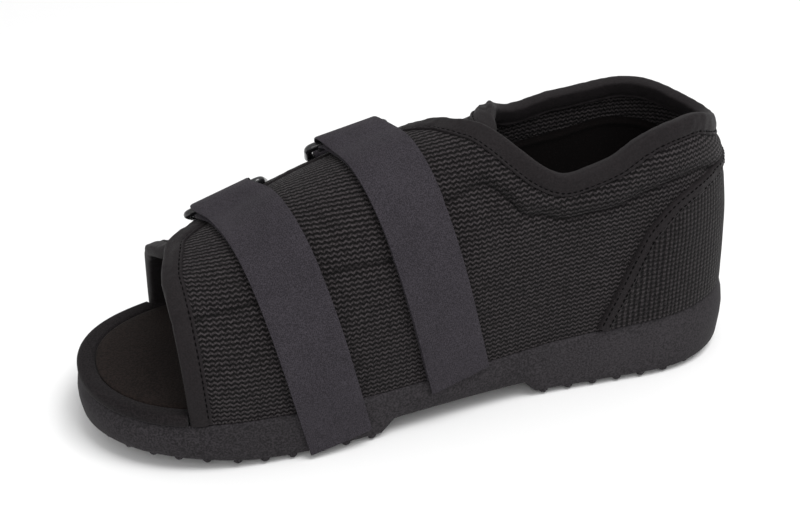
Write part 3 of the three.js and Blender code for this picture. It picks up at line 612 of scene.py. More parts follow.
def closed(bm, caps=True):
    """Joins the grid's meeting edges and closes its open ends."""
    bmesh.ops.remove_doubles(bm, verts=bm.verts, dist=1e-3)
    bmesh.ops.dissolve_degenerate(bm, edges=bm.edges, dist=1e-4)
    if caps:
        ends = [edge for edge in bm.edges if edge.is_boundary]
        filled = bmesh.ops.holes_fill(bm, edges=ends, sides=0)["faces"]
        bmesh.ops.triangulate(bm, faces=filled)


# Shader maths: sockets that take part in Python arithmetic
def joined(operation, swapped=False):
    """A method that joins a Number with another value by a Math node."""

    def method(self, *others):
        values = (*others, self) if swapped else (self, *others)
        return self.nodes.add("ShaderNodeMath", {"operation": operation}, *values).out()

    return method


class Number:
    """A number that changes over the surface."""

    def __init__(self, nodes, socket):
        self.nodes = nodes
        self.socket = socket

    __add__ = __radd__ = joined("ADD")
    __sub__ = joined("SUBTRACT")
    __rsub__ = joined("SUBTRACT", swapped=True)
    __mul__ = __rmul__ = joined("MULTIPLY")
    __truediv__ = joined("DIVIDE")
    __abs__ = joined("ABSOLUTE")
    fract = joined("FRACT")
    least = joined("MINIMUM")
    most = joined("MAXIMUM")

    def zigzag(self):
        """A wave of straight flanks between 0 and 1, one to a unit."""
        return abs(self.fract() * 2 - 1)

    def between(self, low, high):
        """Rises softly from 0 at low to 1 at high."""
        settings = {"interpolation_type": "SMOOTHSTEP"}
        return self.nodes.add("ShaderNodeMapRange", settings, self, low, high, 0, 1).out()


class Made:
    """A node whose outputs can be asked for by name or number."""

    def __init__(self, nodes, node):
        self.nodes = nodes
        self.node = node

    def out(self, name=0):
        return Number(self.nodes, self.node.outputs[name])


class Nodes:
    """The node tree of one material."""

    def __init__(self, name):
        self.material = bpy.data.materials.new(name)
        self.material.use_nodes = True
        self.tree = self.material.node_tree
        self.shader = self.tree.nodes["Principled BSDF"]

    def add(self, kind, settings, *values, **named):
        node = self.tree.nodes.new(kind)
        for key, value in settings.items():
            setattr(node, key, value)
        for socket, value in zip(node.inputs, values):
            self.feed(socket, value)
        for key, value in named.items():
            self.feed(node.inputs[key], value)
        return Made(self, node)

    def feed(self, socket, value):
        if isinstance(value, Number):
            self.tree.links.new(value.socket, socket)
        elif value is not None:
            socket.default_value = value

    def place(self):
        """The piece's own coordinates, in metres."""
        return self.add("ShaderNodeTexCoord", {}).out("Object")

    def pattern(self, layer="UVMap"):
        """Two coordinates laid over the piece, in millimetres along the cloth."""
        split = self.add("ShaderNodeSeparateXYZ", {}, self.add("ShaderNodeUVMap", {"uv_map": layer}).out())
        return split.out("X"), split.out("Y")

    def cloudy(self, scale, detail=2.0, rough=0.5, vector=None):
        """Noise between 0 and 1 with about scale patches to a metre."""
        named = {"Vector": vector or self.place(), "Scale": scale, "Detail": detail, "Roughness": rough}
        return self.add("ShaderNodeTexNoise", {}, **named).out(0)

    def mix(self, factor, first, second):
        node = self.tree.nodes.new("ShaderNodeMix")
        node.data_type = "RGBA"
        self.feed(node.inputs[0], factor)
        for socket, value in ((node.inputs[6], first), (node.inputs[7], second)):
            self.feed(socket, (*value, 1) if isinstance(value, tuple) else value)
        return Number(self, node.outputs[2])

    def surface(self, color, rough, height=None, depth=0.1, **fixed):
        """Sets the shader. height from 0 to 1 stands for a depth in millimetres."""
        shader = self.shader
        self.feed(shader.inputs["Base Color"], (*color, 1) if isinstance(color, tuple) else color)
        self.feed(shader.inputs["Roughness"], rough)
        for name, value in fixed.items():
            shader.inputs[name.replace("_", " ")].default_value = value
        if height is not None:
            relief = self.add("ShaderNodeBump", {}, Strength=1.0, Distance=depth * MM, Height=height)
            self.feed(shader.inputs["Normal"], relief.out())
        return self.material


CLOTH = {"Specular_IOR_Level": 0.08, "Sheen_Weight": 0.03}


# The lining's own dark colour, made darker still with painted shade of the shoe's inside
SHADED_LINING_COLOR = (0.0026, 0.0018, 0.0018)
# Stitch thread: its dark colour made darker still with painted shade of the needle holes
THREAD_COLOR_WITH_HOLE_SHADE = (0.0015, 0.0014, 0.0015)
FLOOR_COLOR = (0.86, 0.86, 0.86)


def tint(color, factor):
    return tuple(channel * factor for channel in color)


# Ribs over the seam of the collar pad, whose grooves carry painted shade, and how far above it the zigzag
# calms down; the seam line's width, with its painted shade
RIB_PITCH = 1.9
RIBS_END = (4.6, 5.6)
CALM = (4, 26)
SEAM_WIDTH = (0.35, 1.1)


def finish_cloth(nodes, shade, color, dark, light, rough, height, depth):
    """Finishes a cloth whose shade from 0 to 1 runs from a dark to a light tint of its colour."""
    tone = nodes.mix(shade, tint(color, dark), tint(color, light))
    return nodes.surface(tone, rough, height, depth, **CLOTH)


def knit(name, color, settings):
    """Spacer mesh of zigzag rows with darker gaps between them, stitched down along the seam. The threads
    are lighter with painted highlight and the gaps darker with painted shade, over the weave's own pattern,
    and the seam line and the grooves of the ribs are darkened with painted shade.
    """
    nodes = Nodes(name)
    u, v = nodes.pattern()
    above, ribbed = nodes.pattern("Seam")
    wander = nodes.cloudy(55) - 0.5
    zig = (u / settings.knit_period).zigzag()
    swing = 0.42 - above.between(*CALM) * 0.2
    row = (v / settings.knit_pitch + zig * swing + wander * 0.35).fract()
    # Threads of each row: lighter partly by the weave's pattern and partly by painted highlight
    strand_and_highlight = 1 - abs(row - 0.5).between(0.12, 0.36)
    knots = (1 - abs(zig - 0.5) * 2) * 0.3 + 0.7
    fibre = nodes.cloudy(1250, 2.0, 0.65).between(0.34, 0.66)
    # Ribs of the collar pad: grooves in the relief, whose colour is darkened with painted shade
    ribs = (1 - (above / RIB_PITCH).zigzag()) * above.between(0, 0.6)
    ribs = ribs * (1 - above.between(*RIBS_END)) * ribbed
    # The seam line: a groove in the relief, whose colour is darkened with painted shade
    sewn_and_shaded = 1 - abs(above).between(*SEAM_WIDTH)
    height = (strand_and_highlight * knots + fibre * 0.3) * (1 - sewn_and_shaded * 0.7) - ribs * 0.9
    shade = strand_and_highlight * knots * (fibre * 1.0 + 0.28) + fibre * 0.1
    patches = nodes.cloudy(30) * 0.6 + 0.7
    # Painted shade: the seam line and the grooves of the ribs are darkened in colour
    value = (shade * patches * (1 - sewn_and_shaded * 0.6) * (1 - ribs * 0.45)).least(1.0)
    # The dark tint is painted shade in the gaps and the light tint painted highlight on the threads, over
    # the weave's own pattern
    return finish_cloth(nodes, value, color, 0.2, 5.0, 0.8 - strand_and_highlight * 0.15, height, 0.5)


def coarse_mesh(name, color, settings):
    """Square open mesh with stronger upright columns, and painted highlights where its threads cross."""
    nodes = Nodes(name)
    u, v = nodes.pattern()
    column = 1 - abs((u / settings.column_pitch).fract() - 0.5).between(0.12, 0.4)
    cross = 1 - abs((v / settings.cross_pitch + column * 0.15).fract() - 0.5).between(0.1, 0.36)
    fibre = nodes.cloudy(1250, 2.0, 0.65).between(0.34, 0.66)
    # Brightest where columns and bars cross: painted highlights, over the mesh's own columns and bars
    strand_and_highlight = (column * 0.38).most(cross * 0.26) + column * cross * 0.62
    height = strand_and_highlight + fibre * 0.2
    shade = strand_and_highlight * (fibre * 1.0 + 0.22) * (nodes.cloudy(35) * 0.5 + 0.75)
    return finish_cloth(nodes, shade.least(1.0), color, 0.2, 4.4, 0.75, height, 0.5)


def twill(name, color, pitch=0.62):
    """Fine diagonal tape."""
    nodes = Nodes(name)
    u, v = nodes.pattern()
    rib = ((u + v) / pitch).zigzag()
    weave = (u / (pitch * 0.9)).zigzag() * 0.3 + rib * 0.7
    fibre = nodes.cloudy(1300, 2.0, 0.65).between(0.3, 0.7)
    shade = weave * 0.35 + fibre * 0.65
    return finish_cloth(nodes, shade, color, 0.6, 1.4, 0.6, weave + fibre * 0.5, 0.09)


def brushed(name, color):
    """Brushed fine grained tape of the straps."""
    nodes = Nodes(name)
    u, v = nodes.pattern()
    grain = nodes.cloudy(1900, 2.0, 0.65).between(0.3, 0.7)
    fine = nodes.cloudy(3200, 2.0, 0.6)
    cloud = nodes.cloudy(60, 3.0, 0.55)
    rib = (u / 0.8).zigzag()
    shade = grain * 0.55 + fine * 0.25 + rib * 0.1 + cloud * 0.25
    height = grain * 0.7 + fine * 0.3 + rib * 0.15
    return finish_cloth(nodes, shade.between(0.25, 0.95), color, 0.6, 1.5, 0.8, height, 0.1)


def foam(name, color):
    """Moulded foam with a fine matte grain."""
    nodes = Nodes(name)
    grain = nodes.cloudy(1150, 2.0, 0.65).between(0.28, 0.72)
    pores = nodes.cloudy(4200, 2.0, 0.6)
    cloud = nodes.cloudy(22, 2.0, 0.5)
    shade = grain * 0.55 + pores * 0.15 + cloud * 0.4
    return nodes.surface(
        nodes.mix(shade.between(0.2, 0.95), tint(color, 0.5), tint(color, 1.6)),
        0.6 + grain * 0.2,
        grain * 0.6 + pores * 0.4,
        0.07,
        Specular_IOR_Level=0.08,
    )


def nap(name, color, scale, depth):
    """Short nap, such as a brushed insole, lining or microfibre."""
    nodes = Nodes(name)
    grain = nodes.cloudy(scale, 2.0, 0.65).between(0.3, 0.7)
    cloud = nodes.cloudy(45, 3.0, 0.55)
    shade = grain * 0.7 + cloud * 0.45
    return finish_cloth(nodes, shade.between(0.3, 0.9), color, 0.6, 1.4, 0.85, grain, depth)


def tricot(name, color):
    """Fine dotted lining."""
    nodes = Nodes(name)
    u, v = nodes.pattern()
    dots = nodes.add("ShaderNodeTexVoronoi", {}, Vector=nodes.place(), Scale=620.0).out("Distance")
    spot = 1 - dots.between(0.16, 0.34)
    fibre = nodes.cloudy(2800, 3.0, 0.6)
    row = (v / 1.3).zigzag()
    shade = fibre * 0.35 + spot * 0.35 + row * 0.12
    return finish_cloth(nodes, shade, color, 0.6, 3.0, 0.9, fibre * 0.5 + spot * 0.5, 0.12)


def plastic(name, color):
    """Glossy moulded plastic."""
    nodes = Nodes(name)
    grain = nodes.cloudy(900, 2.0, 0.5)
    return nodes.surface(color, 0.22 + grain * 0.12, grain, 0.01, Coat_Weight=0.3)


def thread(name):
    """Dark matt thread of the stitches, its colour made darker with painted shade of the needle holes."""
    nodes = Nodes(name)
    twist = nodes.cloudy(5000, 2.0, 0.6)
    color = nodes.mix(twist, tint(THREAD_COLOR_WITH_HOLE_SHADE, 0.7), tint(THREAD_COLOR_WITH_HOLE_SHADE, 1.3))
    return nodes.surface(color, 0.8, twist, 0.03, Specular_IOR_Level=0.05)


def size(name, description, default):
    return FloatProperty(name=name, description=description + ", in millimetres", default=default, min=0.1)


def paint(name, description, default):
    return FloatVectorProperty(
        name=name, description=description, subtype="COLOR", default=default, min=0, max=1
    )


class ShoeSettings(bpy.types.PropertyGroup):
    """Pattern sizes and colours of the shoe."""

    knit_period: size("Zigzag", "Length of one zigzag of the mesh", 2.75)
    knit_pitch: size("Rows", "Distance between the mesh's rows", 2.1)
    column_pitch: size("Columns", "Distance between the counter's columns", 2.6)
    cross_pitch: size("Bars", "Distance between the counter's bars", 2.35)
    stitch_pitch: size("Stitches", "Length from stitch to stitch", 2.7)
    knit_color: paint("Mesh", "Colour of the mesh", (0.0088, 0.0076, 0.008))
    tape_color: paint("Tape", "Colour of the bindings", (0.0122, 0.0102, 0.011))
    strap_color: paint("Strap", "Colour of the straps", (0.0285, 0.0252, 0.0302))
    sole_color: paint("Sole", "Colour of the outsole", (0.026, 0.0235, 0.0258))
    insole_color: paint("Insole", "Colour of the insole", (0.0108, 0.0075, 0.0066))
    ring_color: paint("Ring", "Colour of the rings", (0.008, 0.008, 0.009))


# The wall's mesh is finer near the seam, for this far each way
SEAM_ROWS = 3.2
RIBBED = (x_at(0.4), x_at(0.5))


class SHOE_OT_upper(bpy.types.Operator):
    """Makes the padded mesh upper with its lining"""

    bl_idname = "shoe.upper"
    bl_label = "Upper"

    def execute(self, context):
        settings = context.scene.shoe
        outside = knit("knit mesh", tuple(settings.knit_color), settings)
        # The lining's colour carries painted shade of the shoe's inside
        inside = tricot("lining", SHADED_LINING_COLOR)
        fine = 1
        columns = round(LAST_LINE * 6 * fine)
        low, near, high, top = round(16 * fine), 8, round(30 * fine), 4
        count = 2 * (low + near + high + top) + 1

        def girth(line, j):
            _, _, seam, edge = line
            tape = max(edge - BINDING_WIDTH, lerp(seam, edge, 0.5))
            start, end = seam - SEAM_ROWS, min(seam + SEAM_ROWS, lerp(seam, tape, 0.5))
            if j <= low:
                return start * j / low
            if j <= low + near:
                return lerp(start, end, (j - low) / near)
            if j <= low + near + high:
                return lerp(end, tape, (j - low - near) / high)
            return lerp(tape, edge, (j - low - near - high) / top)

        half = low + near + high + top

        def place(i, j):
            number = LAST_LINE * i / columns
            line = wall_line(number)
            if j <= half:
                return on_wall(*wall_place(number, girth(line, j)), 0)
            return on_wall(*wall_place(number, girth(line, count - j)), -WALL) if j < count else place(i, 0)

        def uv(i, j):
            number = LAST_LINE * i / columns
            line = wall_line(number)
            at = girth(line, j if j <= half else max(count - j, 0))
            return lerp(line[0], line[1], at / line[3]), at

        def seam(i, j):
            run, _, height, _ = wall_line(LAST_LINE * i / columns)
            station = side_of(run)[1]
            return uv(i, j)[1] - height, 1 - smooth(station, *RIBBED)

        def material(i, j):
            above_pad = low + near < count - j <= half
            return 0 if j < half or above_pad else 1

        bm = bmesh.new()
        grid(bm, columns, count, place, uv, material, seam)
        closed(bm)
        finish_mesh("upper_wall", bm, [outside, inside], 60, node="upper")
        return {"FINISHED"}


# Outer half of the edge tape's section: how far short of its sewn edge's depth, and off the wall
SEWN = 1.35
SEWN_OFF = 0.82
TAPE_FACE = (
    (0, 0.1),
    (0.1, 0.85),
    (0.45, 1.15),
    (0.9, 1.1),
    (SEWN, 0.75),
    (1.9, 1.05),
    (2.7, 1.3),
    (4, TAPE_OUT),
)
TAPE_BULGE = 0.4


def tape_section():
    """Closed section of the folded tape: depth below the wall's edge and distance out from the wall."""
    shape = [(BINDING_WIDTH - short, off) for short, off in TAPE_FACE]
    shape.append((1.6, TAPE_OUT))
    middle = -WALL / 2
    turns = 10
    for i in range(turns + 1):
        angle = QUARTER_TURN * (1 - 2 * i / turns)
        across = math.copysign(abs(math.sin(angle)) ** 0.8, angle)
        depth = TAPE_BULGE - (TAPE_OUT + TAPE_BULGE) * math.cos(angle) ** 0.8
        shape.append((depth, middle + (TAPE_OUT - middle) * across))
    under = [(depth, 2 * middle - off) for depth, off in shape[: len(TAPE_FACE)]]
    return shape + under[::-1]


PUCKER = 0.45
PUCKER_LENGTH = 3.4
PUCKER_WIDTH = 3.5


def swept(bm, path, frames, first, last, shape, pad=1.0):
    """Sweeps a closed section along part of a path on the wall, slightly puckered."""
    count = len(shape)
    columns = last - first
    runs = [0.0]
    points = [wrap_point(*path[i]) for i in range(first, last + 1)]
    for a, b in zip(points, points[1:]):
        runs.append(runs[-1] + (b - a).length)
    around = [0.0]
    for (d0, o0), (d1, o1) in zip(shape, shape[1:] + shape[:1]):
        around.append(around[-1] + math.hypot(d1 - d0, o1 - o0))

    def place(i, j):
        depth, off = shape[j % count]
        pucker = PUCKER * noise.noise(Vector((runs[i] / PUCKER_LENGTH, depth / PUCKER_WIDTH, first)))
        pucker *= smooth(abs(off), 0.5, 1)
        return sweep_point(path[first + i], frames[first + i][1], depth, off + pucker, pad)

    grid(bm, columns, count, place, lambda i, j: (runs[i], around[j]))
    closed(bm)


def stitches(bm, path, frames, first, last, depth, off, pitch, pad=1.0):
    """Small stitches along a path, each a rounded bar that dips into the tape at its ends."""
    long, wide, high = pitch * 0.7, 0.8, 0.55
    rest = pitch * 0.5
    for i in range(first, last):
        here = sweep_point(path[i], frames[i][1], depth, off, pad)
        there = sweep_point(path[i + 1], frames[i + 1][1], depth, off, pad)
        step = there - here
        length = step.length
        if length < 1e-6:
            continue
        out = surface_axes(*path[i])[2]
        while rest < length:
            along = step.normalized()
            side = out.cross(along).normalized()
            top = along.cross(side).normalized()
            middle = here + step * (rest / length)
            made = bmesh.ops.create_uvsphere(bm, u_segments=8, v_segments=5, radius=0.5)["verts"]
            for vert in made:
                x, y, z = vert.co
                vert.co = middle + along * (x * long) + side * (y * wide) + top * (z * high)
            rest += pitch
        rest -= length


BINDINGS = ("toe_binding_outer", "collar_binding", "flap_binding", "toe_binding_inner")


class SHOE_OT_bindings(bpy.types.Operator):
    """Makes the tapes that are folded over the upper's edges, with their stitches"""

    bl_idname = "shoe.bindings"
    bl_label = "Bindings"

    def execute(self, context):
        settings = context.scene.shoe
        cloth = twill("binding tape", tuple(settings.tape_color))
        # The stitch thread's colour carries painted shade of the needle holes
        sewn_and_shaded = thread("thread")
        path, marks = edge_path()
        frames = path_frames(path)
        shape = tape_section()
        for name, first, last in zip(BINDINGS, marks, marks[1:]):
            bm = bmesh.new()
            swept(bm, path, frames, first, last, shape)
            finish_mesh(name + "_tape", bm, [cloth], 70, node=name)
        bm = bmesh.new()
        stitches(bm, path, frames, 1, len(path) - 2, BINDING_WIDTH - SEWN, SEWN_OFF, settings.stitch_pitch)
        finish_mesh("binding_stitches", bm, [sewn_and_shaded])
        return {"FINISHED"}


COUNTER_PAD = 0.25
COUNTER_UNDER_TAPE = 2
COUNTER_SKIRT = 0.15
COUNTER_SEAM = 1.2


def counter_path():
    """The counter's upper edge, from the outer side around the heel to the inner side."""
    rows = []
    for side, order in ((OUTER, COUNTER), (INNER, COUNTER[::-1])):
        for row in order:
            rows.append({"at": len(rows), "run": run_of(side, row["at"]), "rise": row["rise"]})
    run, rise = curve(rows, "run"), curve(rows, "rise")
    steps = 8
    path = []
    for i in range((len(rows) - 1) * steps + 1):
        side, station = side_of(run(i / steps))
        path.append((side, station, rise(i / steps) * COUNTER_HEIGHT))
    return path


class SHOE_OT_counter(bpy.types.Operator):
    """Makes the heel counter and the tape along its edge"""

    bl_idname = "shoe.counter"
    bl_label = "Heel counter"

    def execute(self, context):
        settings = context.scene.shoe
        path = counter_path()
        frames = path_frames(path)
        rows = 26
        first, last = 3, len(path) - 4
        under_tape = COUNTER_TAPE_WIDTH - COUNTER_UNDER_TAPE

        def place(i, j):
            inner = inset_place(path[first + i], frames[first + i][1], under_tape)
            top = max(inner[2], 1)
            girth = COUNTER_SKIRT + (top - COUNTER_SKIRT) * min(j, rows) / rows
            off = COUNTER_GAP + COUNTER_THICKNESS if j <= rows else 0.05
            return on_wall(inner[0], inner[1], girth, off, COUNTER_PAD)

        def uv(i, j):
            side, station, _ = path[first + i]
            run = station if side == OUTER else 2 * HEEL_BACK - station
            return run, path[first + i][2] * min(j, rows) / rows

        bm = bmesh.new()
        grid(bm, last - first, rows + 1, place, uv)
        bmesh.ops.remove_doubles(bm, verts=bm.verts, dist=1e-3)
        mesh = coarse_mesh("counter mesh", tuple(settings.knit_color), settings)
        finish_mesh("heel_counter_mesh", bm, [mesh], 60, node="heel_counter")

        high = COUNTER_GAP + COUNTER_TAPE_THICKNESS
        wide = COUNTER_TAPE_WIDTH
        shape = [(0, 0.1), (0.1, high * 0.6), (0.5, high * 0.9), (COUNTER_SEAM, high)]
        shape += [(wide - COUNTER_SEAM, high), (wide - 0.5, high * 0.94)]
        shape += [(wide - 0.1, high * 0.8), (wide, 0.1)]
        bm = bmesh.new()
        swept(bm, path, frames, 0, len(path) - 1, shape, COUNTER_PAD)
        cloth = twill("counter tape", tuple(settings.tape_color))
        finish_mesh("counter_edge_tape", bm, [cloth], 70, node="counter_tape")
        bm = bmesh.new()
        for depth in (COUNTER_SEAM, wide - COUNTER_SEAM):
            stitches(bm, path, frames, 1, len(path) - 2, depth, high, settings.stitch_pitch, COUNTER_PAD)
        # The stitch thread's colour carries painted shade of the needle holes
        finish_mesh("counter_stitches", bm, [thread("counter thread")])
        return {"FINISHED"}


def half_outline(middle, heel_steps, toe_steps):
    """Half of the sole's outline, from the back of the heel to the toe tip."""
    outline = []
    for i in range(heel_steps):
        turn = (1 - (i + 0.35) / heel_steps) * QUARTER_TURN
        outline.append(Vector((HEEL_CENTRE - HEEL_REACH * math.sin(turn), HEEL_WIDTH / 2 * math.cos(turn))))
    for x in middle:
        outline.append(Vector((x, lerp(HEEL_WIDTH, BALL_WIDTH, smooth(x, WAIST_START, BALL_START)) / 2)))
    for i in range(1, toe_steps + 1):
        turn = (i - 0.35) / toe_steps * QUARTER_TURN
        along, across = math.sin(turn) ** TOE_POWER, math.cos(turn) ** TOE_POWER
        outline.append(Vector((lerp(TOE_START, TOE_TIP, along), BALL_WIDTH / 2 * across)))
    return outline


def inset_outline(outline, inset_at):
    """The outline moved inward by inset_at(x)."""
    moved = []
    last = len(outline) - 1
    for i, point in enumerate(outline):
        before = outline[i - 1] if i else Vector((outline[0].x, -outline[0].y))
        after = outline[i + 1] if i < last else Vector((outline[last].x, -outline[last].y))
        along = (after - before).normalized()
        inset = inset_at(point.x)
        moved.append(Vector((point.x + along.y * inset, max(point.y - along.x * inset, 0.2))))
    return moved


def sole_body(bm, rings):
    """A closed body through rings of (outer half, inner half, height): its first ring is closed
    below and its last above, by rows that run to the middle line."""
    count = len(rings[0][0])
    spread = (0, 0.35, 0.7, 0.94)
    rows = [(rings[0], share) for share in spread] + [(ring, 1) for ring in rings]
    rows += [(rings[-1], share) for share in spread[::-1]]
    columns = 2 * count

    def place(i, j):
        (outer, inner, height), share = rows[j]
        k = i % columns
        point, side = (outer[k], 1) if k < count else (inner[columns - 1 - k], -1)
        return Vector((point.x, side * point.y * share, height(point.x)))

    grid(bm, columns, len(rows) - 1, place, lambda i, j: (i * 3.0, j * 2.0))
    closed(bm, caps=False)


def spaced(stops, step):
    """Stations between the stops, no further apart than a step."""
    stations = []
    for low, high in zip(stops, stops[1:]):
        parts = max(math.ceil((high - low) / step), 1)
        stations += [lerp(low, high, i / parts) for i in range(parts)]
    return stations + [stops[-1]]


# The outsole's side from its underside to its top: inset from the outline, share of the height, what is
# added to it, and share of the flare at the heel and the toe
OUTSOLE_SIDE = table(
    "inset rise add flare",
    (4.6, 0, 0, 0.5),
    (3.4, 0, 0.05, 0.65),
    (2.2, 0, 0.35, 0.8),
    (1.2, 0, 0.95, 0.9),
    (0.4, 0, 2.1, 1),
    (0, 0.16, 1.6, 1),
    (-0.35, 0.35, 0.6, 1),
    (-0.4, 0.55, 0, 1),
    (-0.25, 0.75, 0, 0.75),
    (-0.05, 1, -2.6, 0.3),
    (0, 1, -1.2, 0.15),
    (0.15, 1, -0.5, 0),
    (0.6, 1, -0.08, 0),
    (1.2, 1, 0, 0),
)
HEEL_FLARE = 2.7
TOE_FLARE = 1.3

STUD_RADIUS = 2.9
STUD_TAPER = 0.5
STUD_DEPTH = 2.6
STUD_ROUND = 0.35
STUD_PITCH = 12.4
STUD_ROW = 10.7
STUD_MARGIN = 6.2
HEEL_BLOCK = (x_at(0.018), x_at(0.342) - STUD_RADIUS)
FRONT_BLOCK = (x_at(0.593) + STUD_RADIUS, x_at(0.975))


def inside_outline(x, y):
    """Whether a stud fits on the sole at this place."""
    if x < HEEL_CENTRE:
        back, side = HEEL_REACH - STUD_MARGIN, HEEL_WIDTH / 2 - STUD_MARGIN
        return math.hypot((x - HEEL_CENTRE) / back, y / side) <= 1
    if x < TOE_START:
        return abs(y) + STUD_MARGIN <= outline_half(x)
    along = (x - TOE_START) / (TOE_TIP - TOE_START - STUD_MARGIN)
    across = abs(y) / (BALL_WIDTH / 2 - STUD_MARGIN)
    return along ** (2 / TOE_POWER) + across ** (2 / TOE_POWER) <= 1


def stud_places():
    places = []
    rows = math.ceil(BALL_WIDTH / 2 / STUD_ROW)
    for row in range(-rows, rows + 1):
        x = -math.ceil(SEAT_TO_BACK / STUD_PITCH) * STUD_PITCH + (STUD_PITCH / 2 if row % 2 else 0)
        while x < TOE_TIP:
            on_block = any(low <= x <= high for low, high in (HEEL_BLOCK, FRONT_BLOCK))
            if on_block and inside_outline(x, row * STUD_ROW):
                places.append((x, row * STUD_ROW))
            x += STUD_PITCH
    return places


EDGE_STUD = 2.15
EDGE_STUD_INSET = 2.5
EDGE_STUD_PITCH = 11
EDGE_STUD_LIFT = 0.95
EDGE_STUDS_BEHIND = 4
EDGE_STUDS_AHEAD = 5


def edge_studs():
    """Small round studs that stand out of the rounded lower edge, on both sides."""
    outline = half_outline(spaced([HEEL_CENTRE, TOE_START], 1.5), 40, 60)
    places = []
    run = EDGE_STUD_PITCH / 2
    line = inset_outline(outline, lambda x: EDGE_STUD_INSET)
    for before, here in zip(line, line[1:]):
        run += (here - before).length
        behind, ahead = here.x + EDGE_STUDS_BEHIND, here.x - EDGE_STUDS_AHEAD
        on_block = any(low <= behind and ahead <= high for low, high in (HEEL_BLOCK, FRONT_BLOCK))
        if run >= EDGE_STUD_PITCH:
            run = 0
            if on_block:
                places += [(here.x, here.y), (here.x, -here.y)]
    return places


class SHOE_OT_outsole(bpy.types.Operator):
    """Makes the moulded outsole with its studs"""

    bl_idname = "shoe.outsole"
    bl_label = "Outsole"

    def execute(self, context):
        settings = context.scene.shoe
        step = 3.2
        corners = [x for x in (x_at(row["at"]) for row in SOLE_UNDER) if HEEL_CENTRE < x < TOE_START]
        middle = spaced([HEEL_CENTRE, *corners, TOE_START], step)
        outline = half_outline(middle, 26, 34)
        rings = []
        for row in OUTSOLE_SIDE:

            def inset(x, row=row):
                heel = HEEL_FLARE * smooth(HEEL_CENTRE - x, 0, HEEL_REACH)
                toe = TOE_FLARE * smooth(x, TOE_START, TOE_TIP)
                return row["inset"] - row["flare"] * (heel + toe)

            half = inset_outline(outline, inset)

            def height(x, row=row):
                return lerp(sole_under(x), sole_top(x), row["rise"]) + row["add"]

            rings.append((half, half, height))
        bm = bmesh.new()
        sole_body(bm, rings)
        for x, y in stud_places():
            tip = sole_under(x) - STUD_HEIGHT
            made = bmesh.ops.create_cone(
                bm,
                cap_ends=True,
                segments=20,
                radius1=STUD_RADIUS - STUD_TAPER,
                radius2=STUD_RADIUS,
                depth=STUD_DEPTH,
            )["verts"]
            bmesh.ops.translate(bm, verts=made, vec=(x, y, tip + STUD_DEPTH / 2))
            edges = {edge for vert in made for edge in vert.link_edges}
            rim = [edge for edge in edges if all(vert.co.z < tip + 0.1 for vert in edge.verts)]
            bmesh.ops.bevel(
                bm, geom=rim, offset=STUD_ROUND, segments=2, affect="EDGES", profile=0.5, material=-1
            )
        for x, y in edge_studs():
            dome = bmesh.ops.create_uvsphere(bm, u_segments=14, v_segments=8, radius=EDGE_STUD)["verts"]
            bmesh.ops.translate(bm, verts=dome, vec=(x, y, sole_under(x) + EDGE_STUD_LIFT))
        moulded = foam("sole foam", tuple(settings.sole_color))
        finish_mesh("outsole_moulding", bm, [moulded], 35, node="outsole")
        return {"FINISHED"}


# Board under the foot: wide at the open toe, and inside the wall behind it
INSIDE_WALL = LIP + WALL + TAPE_OUT + FIT_GAP
STEP_AHEAD = 1.7
TOE_STEP = {side: x_at(EDGES[side][0]["foot"]) + STEP_AHEAD for side in EDGES}
STEP_LENGTH = 0.8
BAND_LEVEL = 1.6
BAND_TURN = (2.6, 2.2)
RECESS_EDGE = BAND_WIDTH - BOARD_OVERHANG


def board_foot(x):
    return sole_top(x) + FIT_GAP


class SHOE_OT_footbed(bpy.types.Operator):
    """Makes the wrapped board with its raised band, and the insole that lies in it"""

    bl_idname = "shoe.footbed"
    bl_label = "Footbed and insole"

    def execute(self, context):
        settings = context.scene.shoe
        middle = spaced([HEEL_CENTRE, WAIST, TOE_START], 4)
        plain = half_outline(middle, 22, 44)

        def stepped(side):
            outline = [point.copy() for point in plain]
            step = TOE_STEP[side]
            after = next(i for i, point in enumerate(outline) if point.x > step)
            for i, x in ((after - 1, step), (after, step + STEP_LENGTH)):
                outline[i] = Vector((x, outline_half(x)))
            return outline

        def edge(side, x):
            return -BOARD_OVERHANG if x > TOE_STEP[side] + STEP_LENGTH / 2 else INSIDE_WALL

        def ring(more, lift, most=RECESS_EDGE):
            halves = []
            for side in EDGES:

                def inset(x, side=side):
                    return min(edge(side, x) + more, most)

                halves.append(inset_outline(stepped(side), inset))
            return (*halves, lambda x: board_foot(x) + lift)

        def recess(gap, lift):
            half = inset_outline(plain, lambda x: RECESS_EDGE + gap)
            return half, half, lambda x: board_foot(x) + lift

        rings = [ring(0.9, 0), ring(0.25, 0.25), ring(0, 0.9)]
        turns = 7
        for i in range(turns + 1):
            angle = QUARTER_TURN * i / turns
            across, rise = BAND_TURN
            lift = BOARD_HEIGHT - rise + rise * math.sin(angle)
            rings.append(ring(across * (1 - math.cos(angle)), lift, RECESS_EDGE - BAND_LEVEL))
        for gap, drop in ((-1.2, 0.12), (-0.5, 0.6), (0, 1.6), (0, RECESS_DEPTH)):
            rings.append(recess(gap, BOARD_HEIGHT - drop))
        bm = bmesh.new()
        sole_body(bm, rings)
        wrap = nap("footbed wrap", tint(tuple(settings.tape_color), 0.9), 1300, 0.05)
        finish_mesh("footbed_wrap", bm, [wrap], 60, node="footbed")

        floor = BOARD_HEIGHT - RECESS_DEPTH + 0.1
        top = floor + INSOLE_THICKNESS
        rings = [recess(0.15, floor), recess(0.15, top - 0.8), recess(0.4, top - 0.25), recess(1.1, top)]
        rings.append(recess(4, top + 0.15))
        bm = bmesh.new()
        sole_body(bm, rings)
        brushed_face = nap("nubuck", tuple(settings.insole_color), 1150, 0.09)
        finish_mesh("insole_pad", bm, [brushed_face], node="insole")
        return {"FINISHED"}


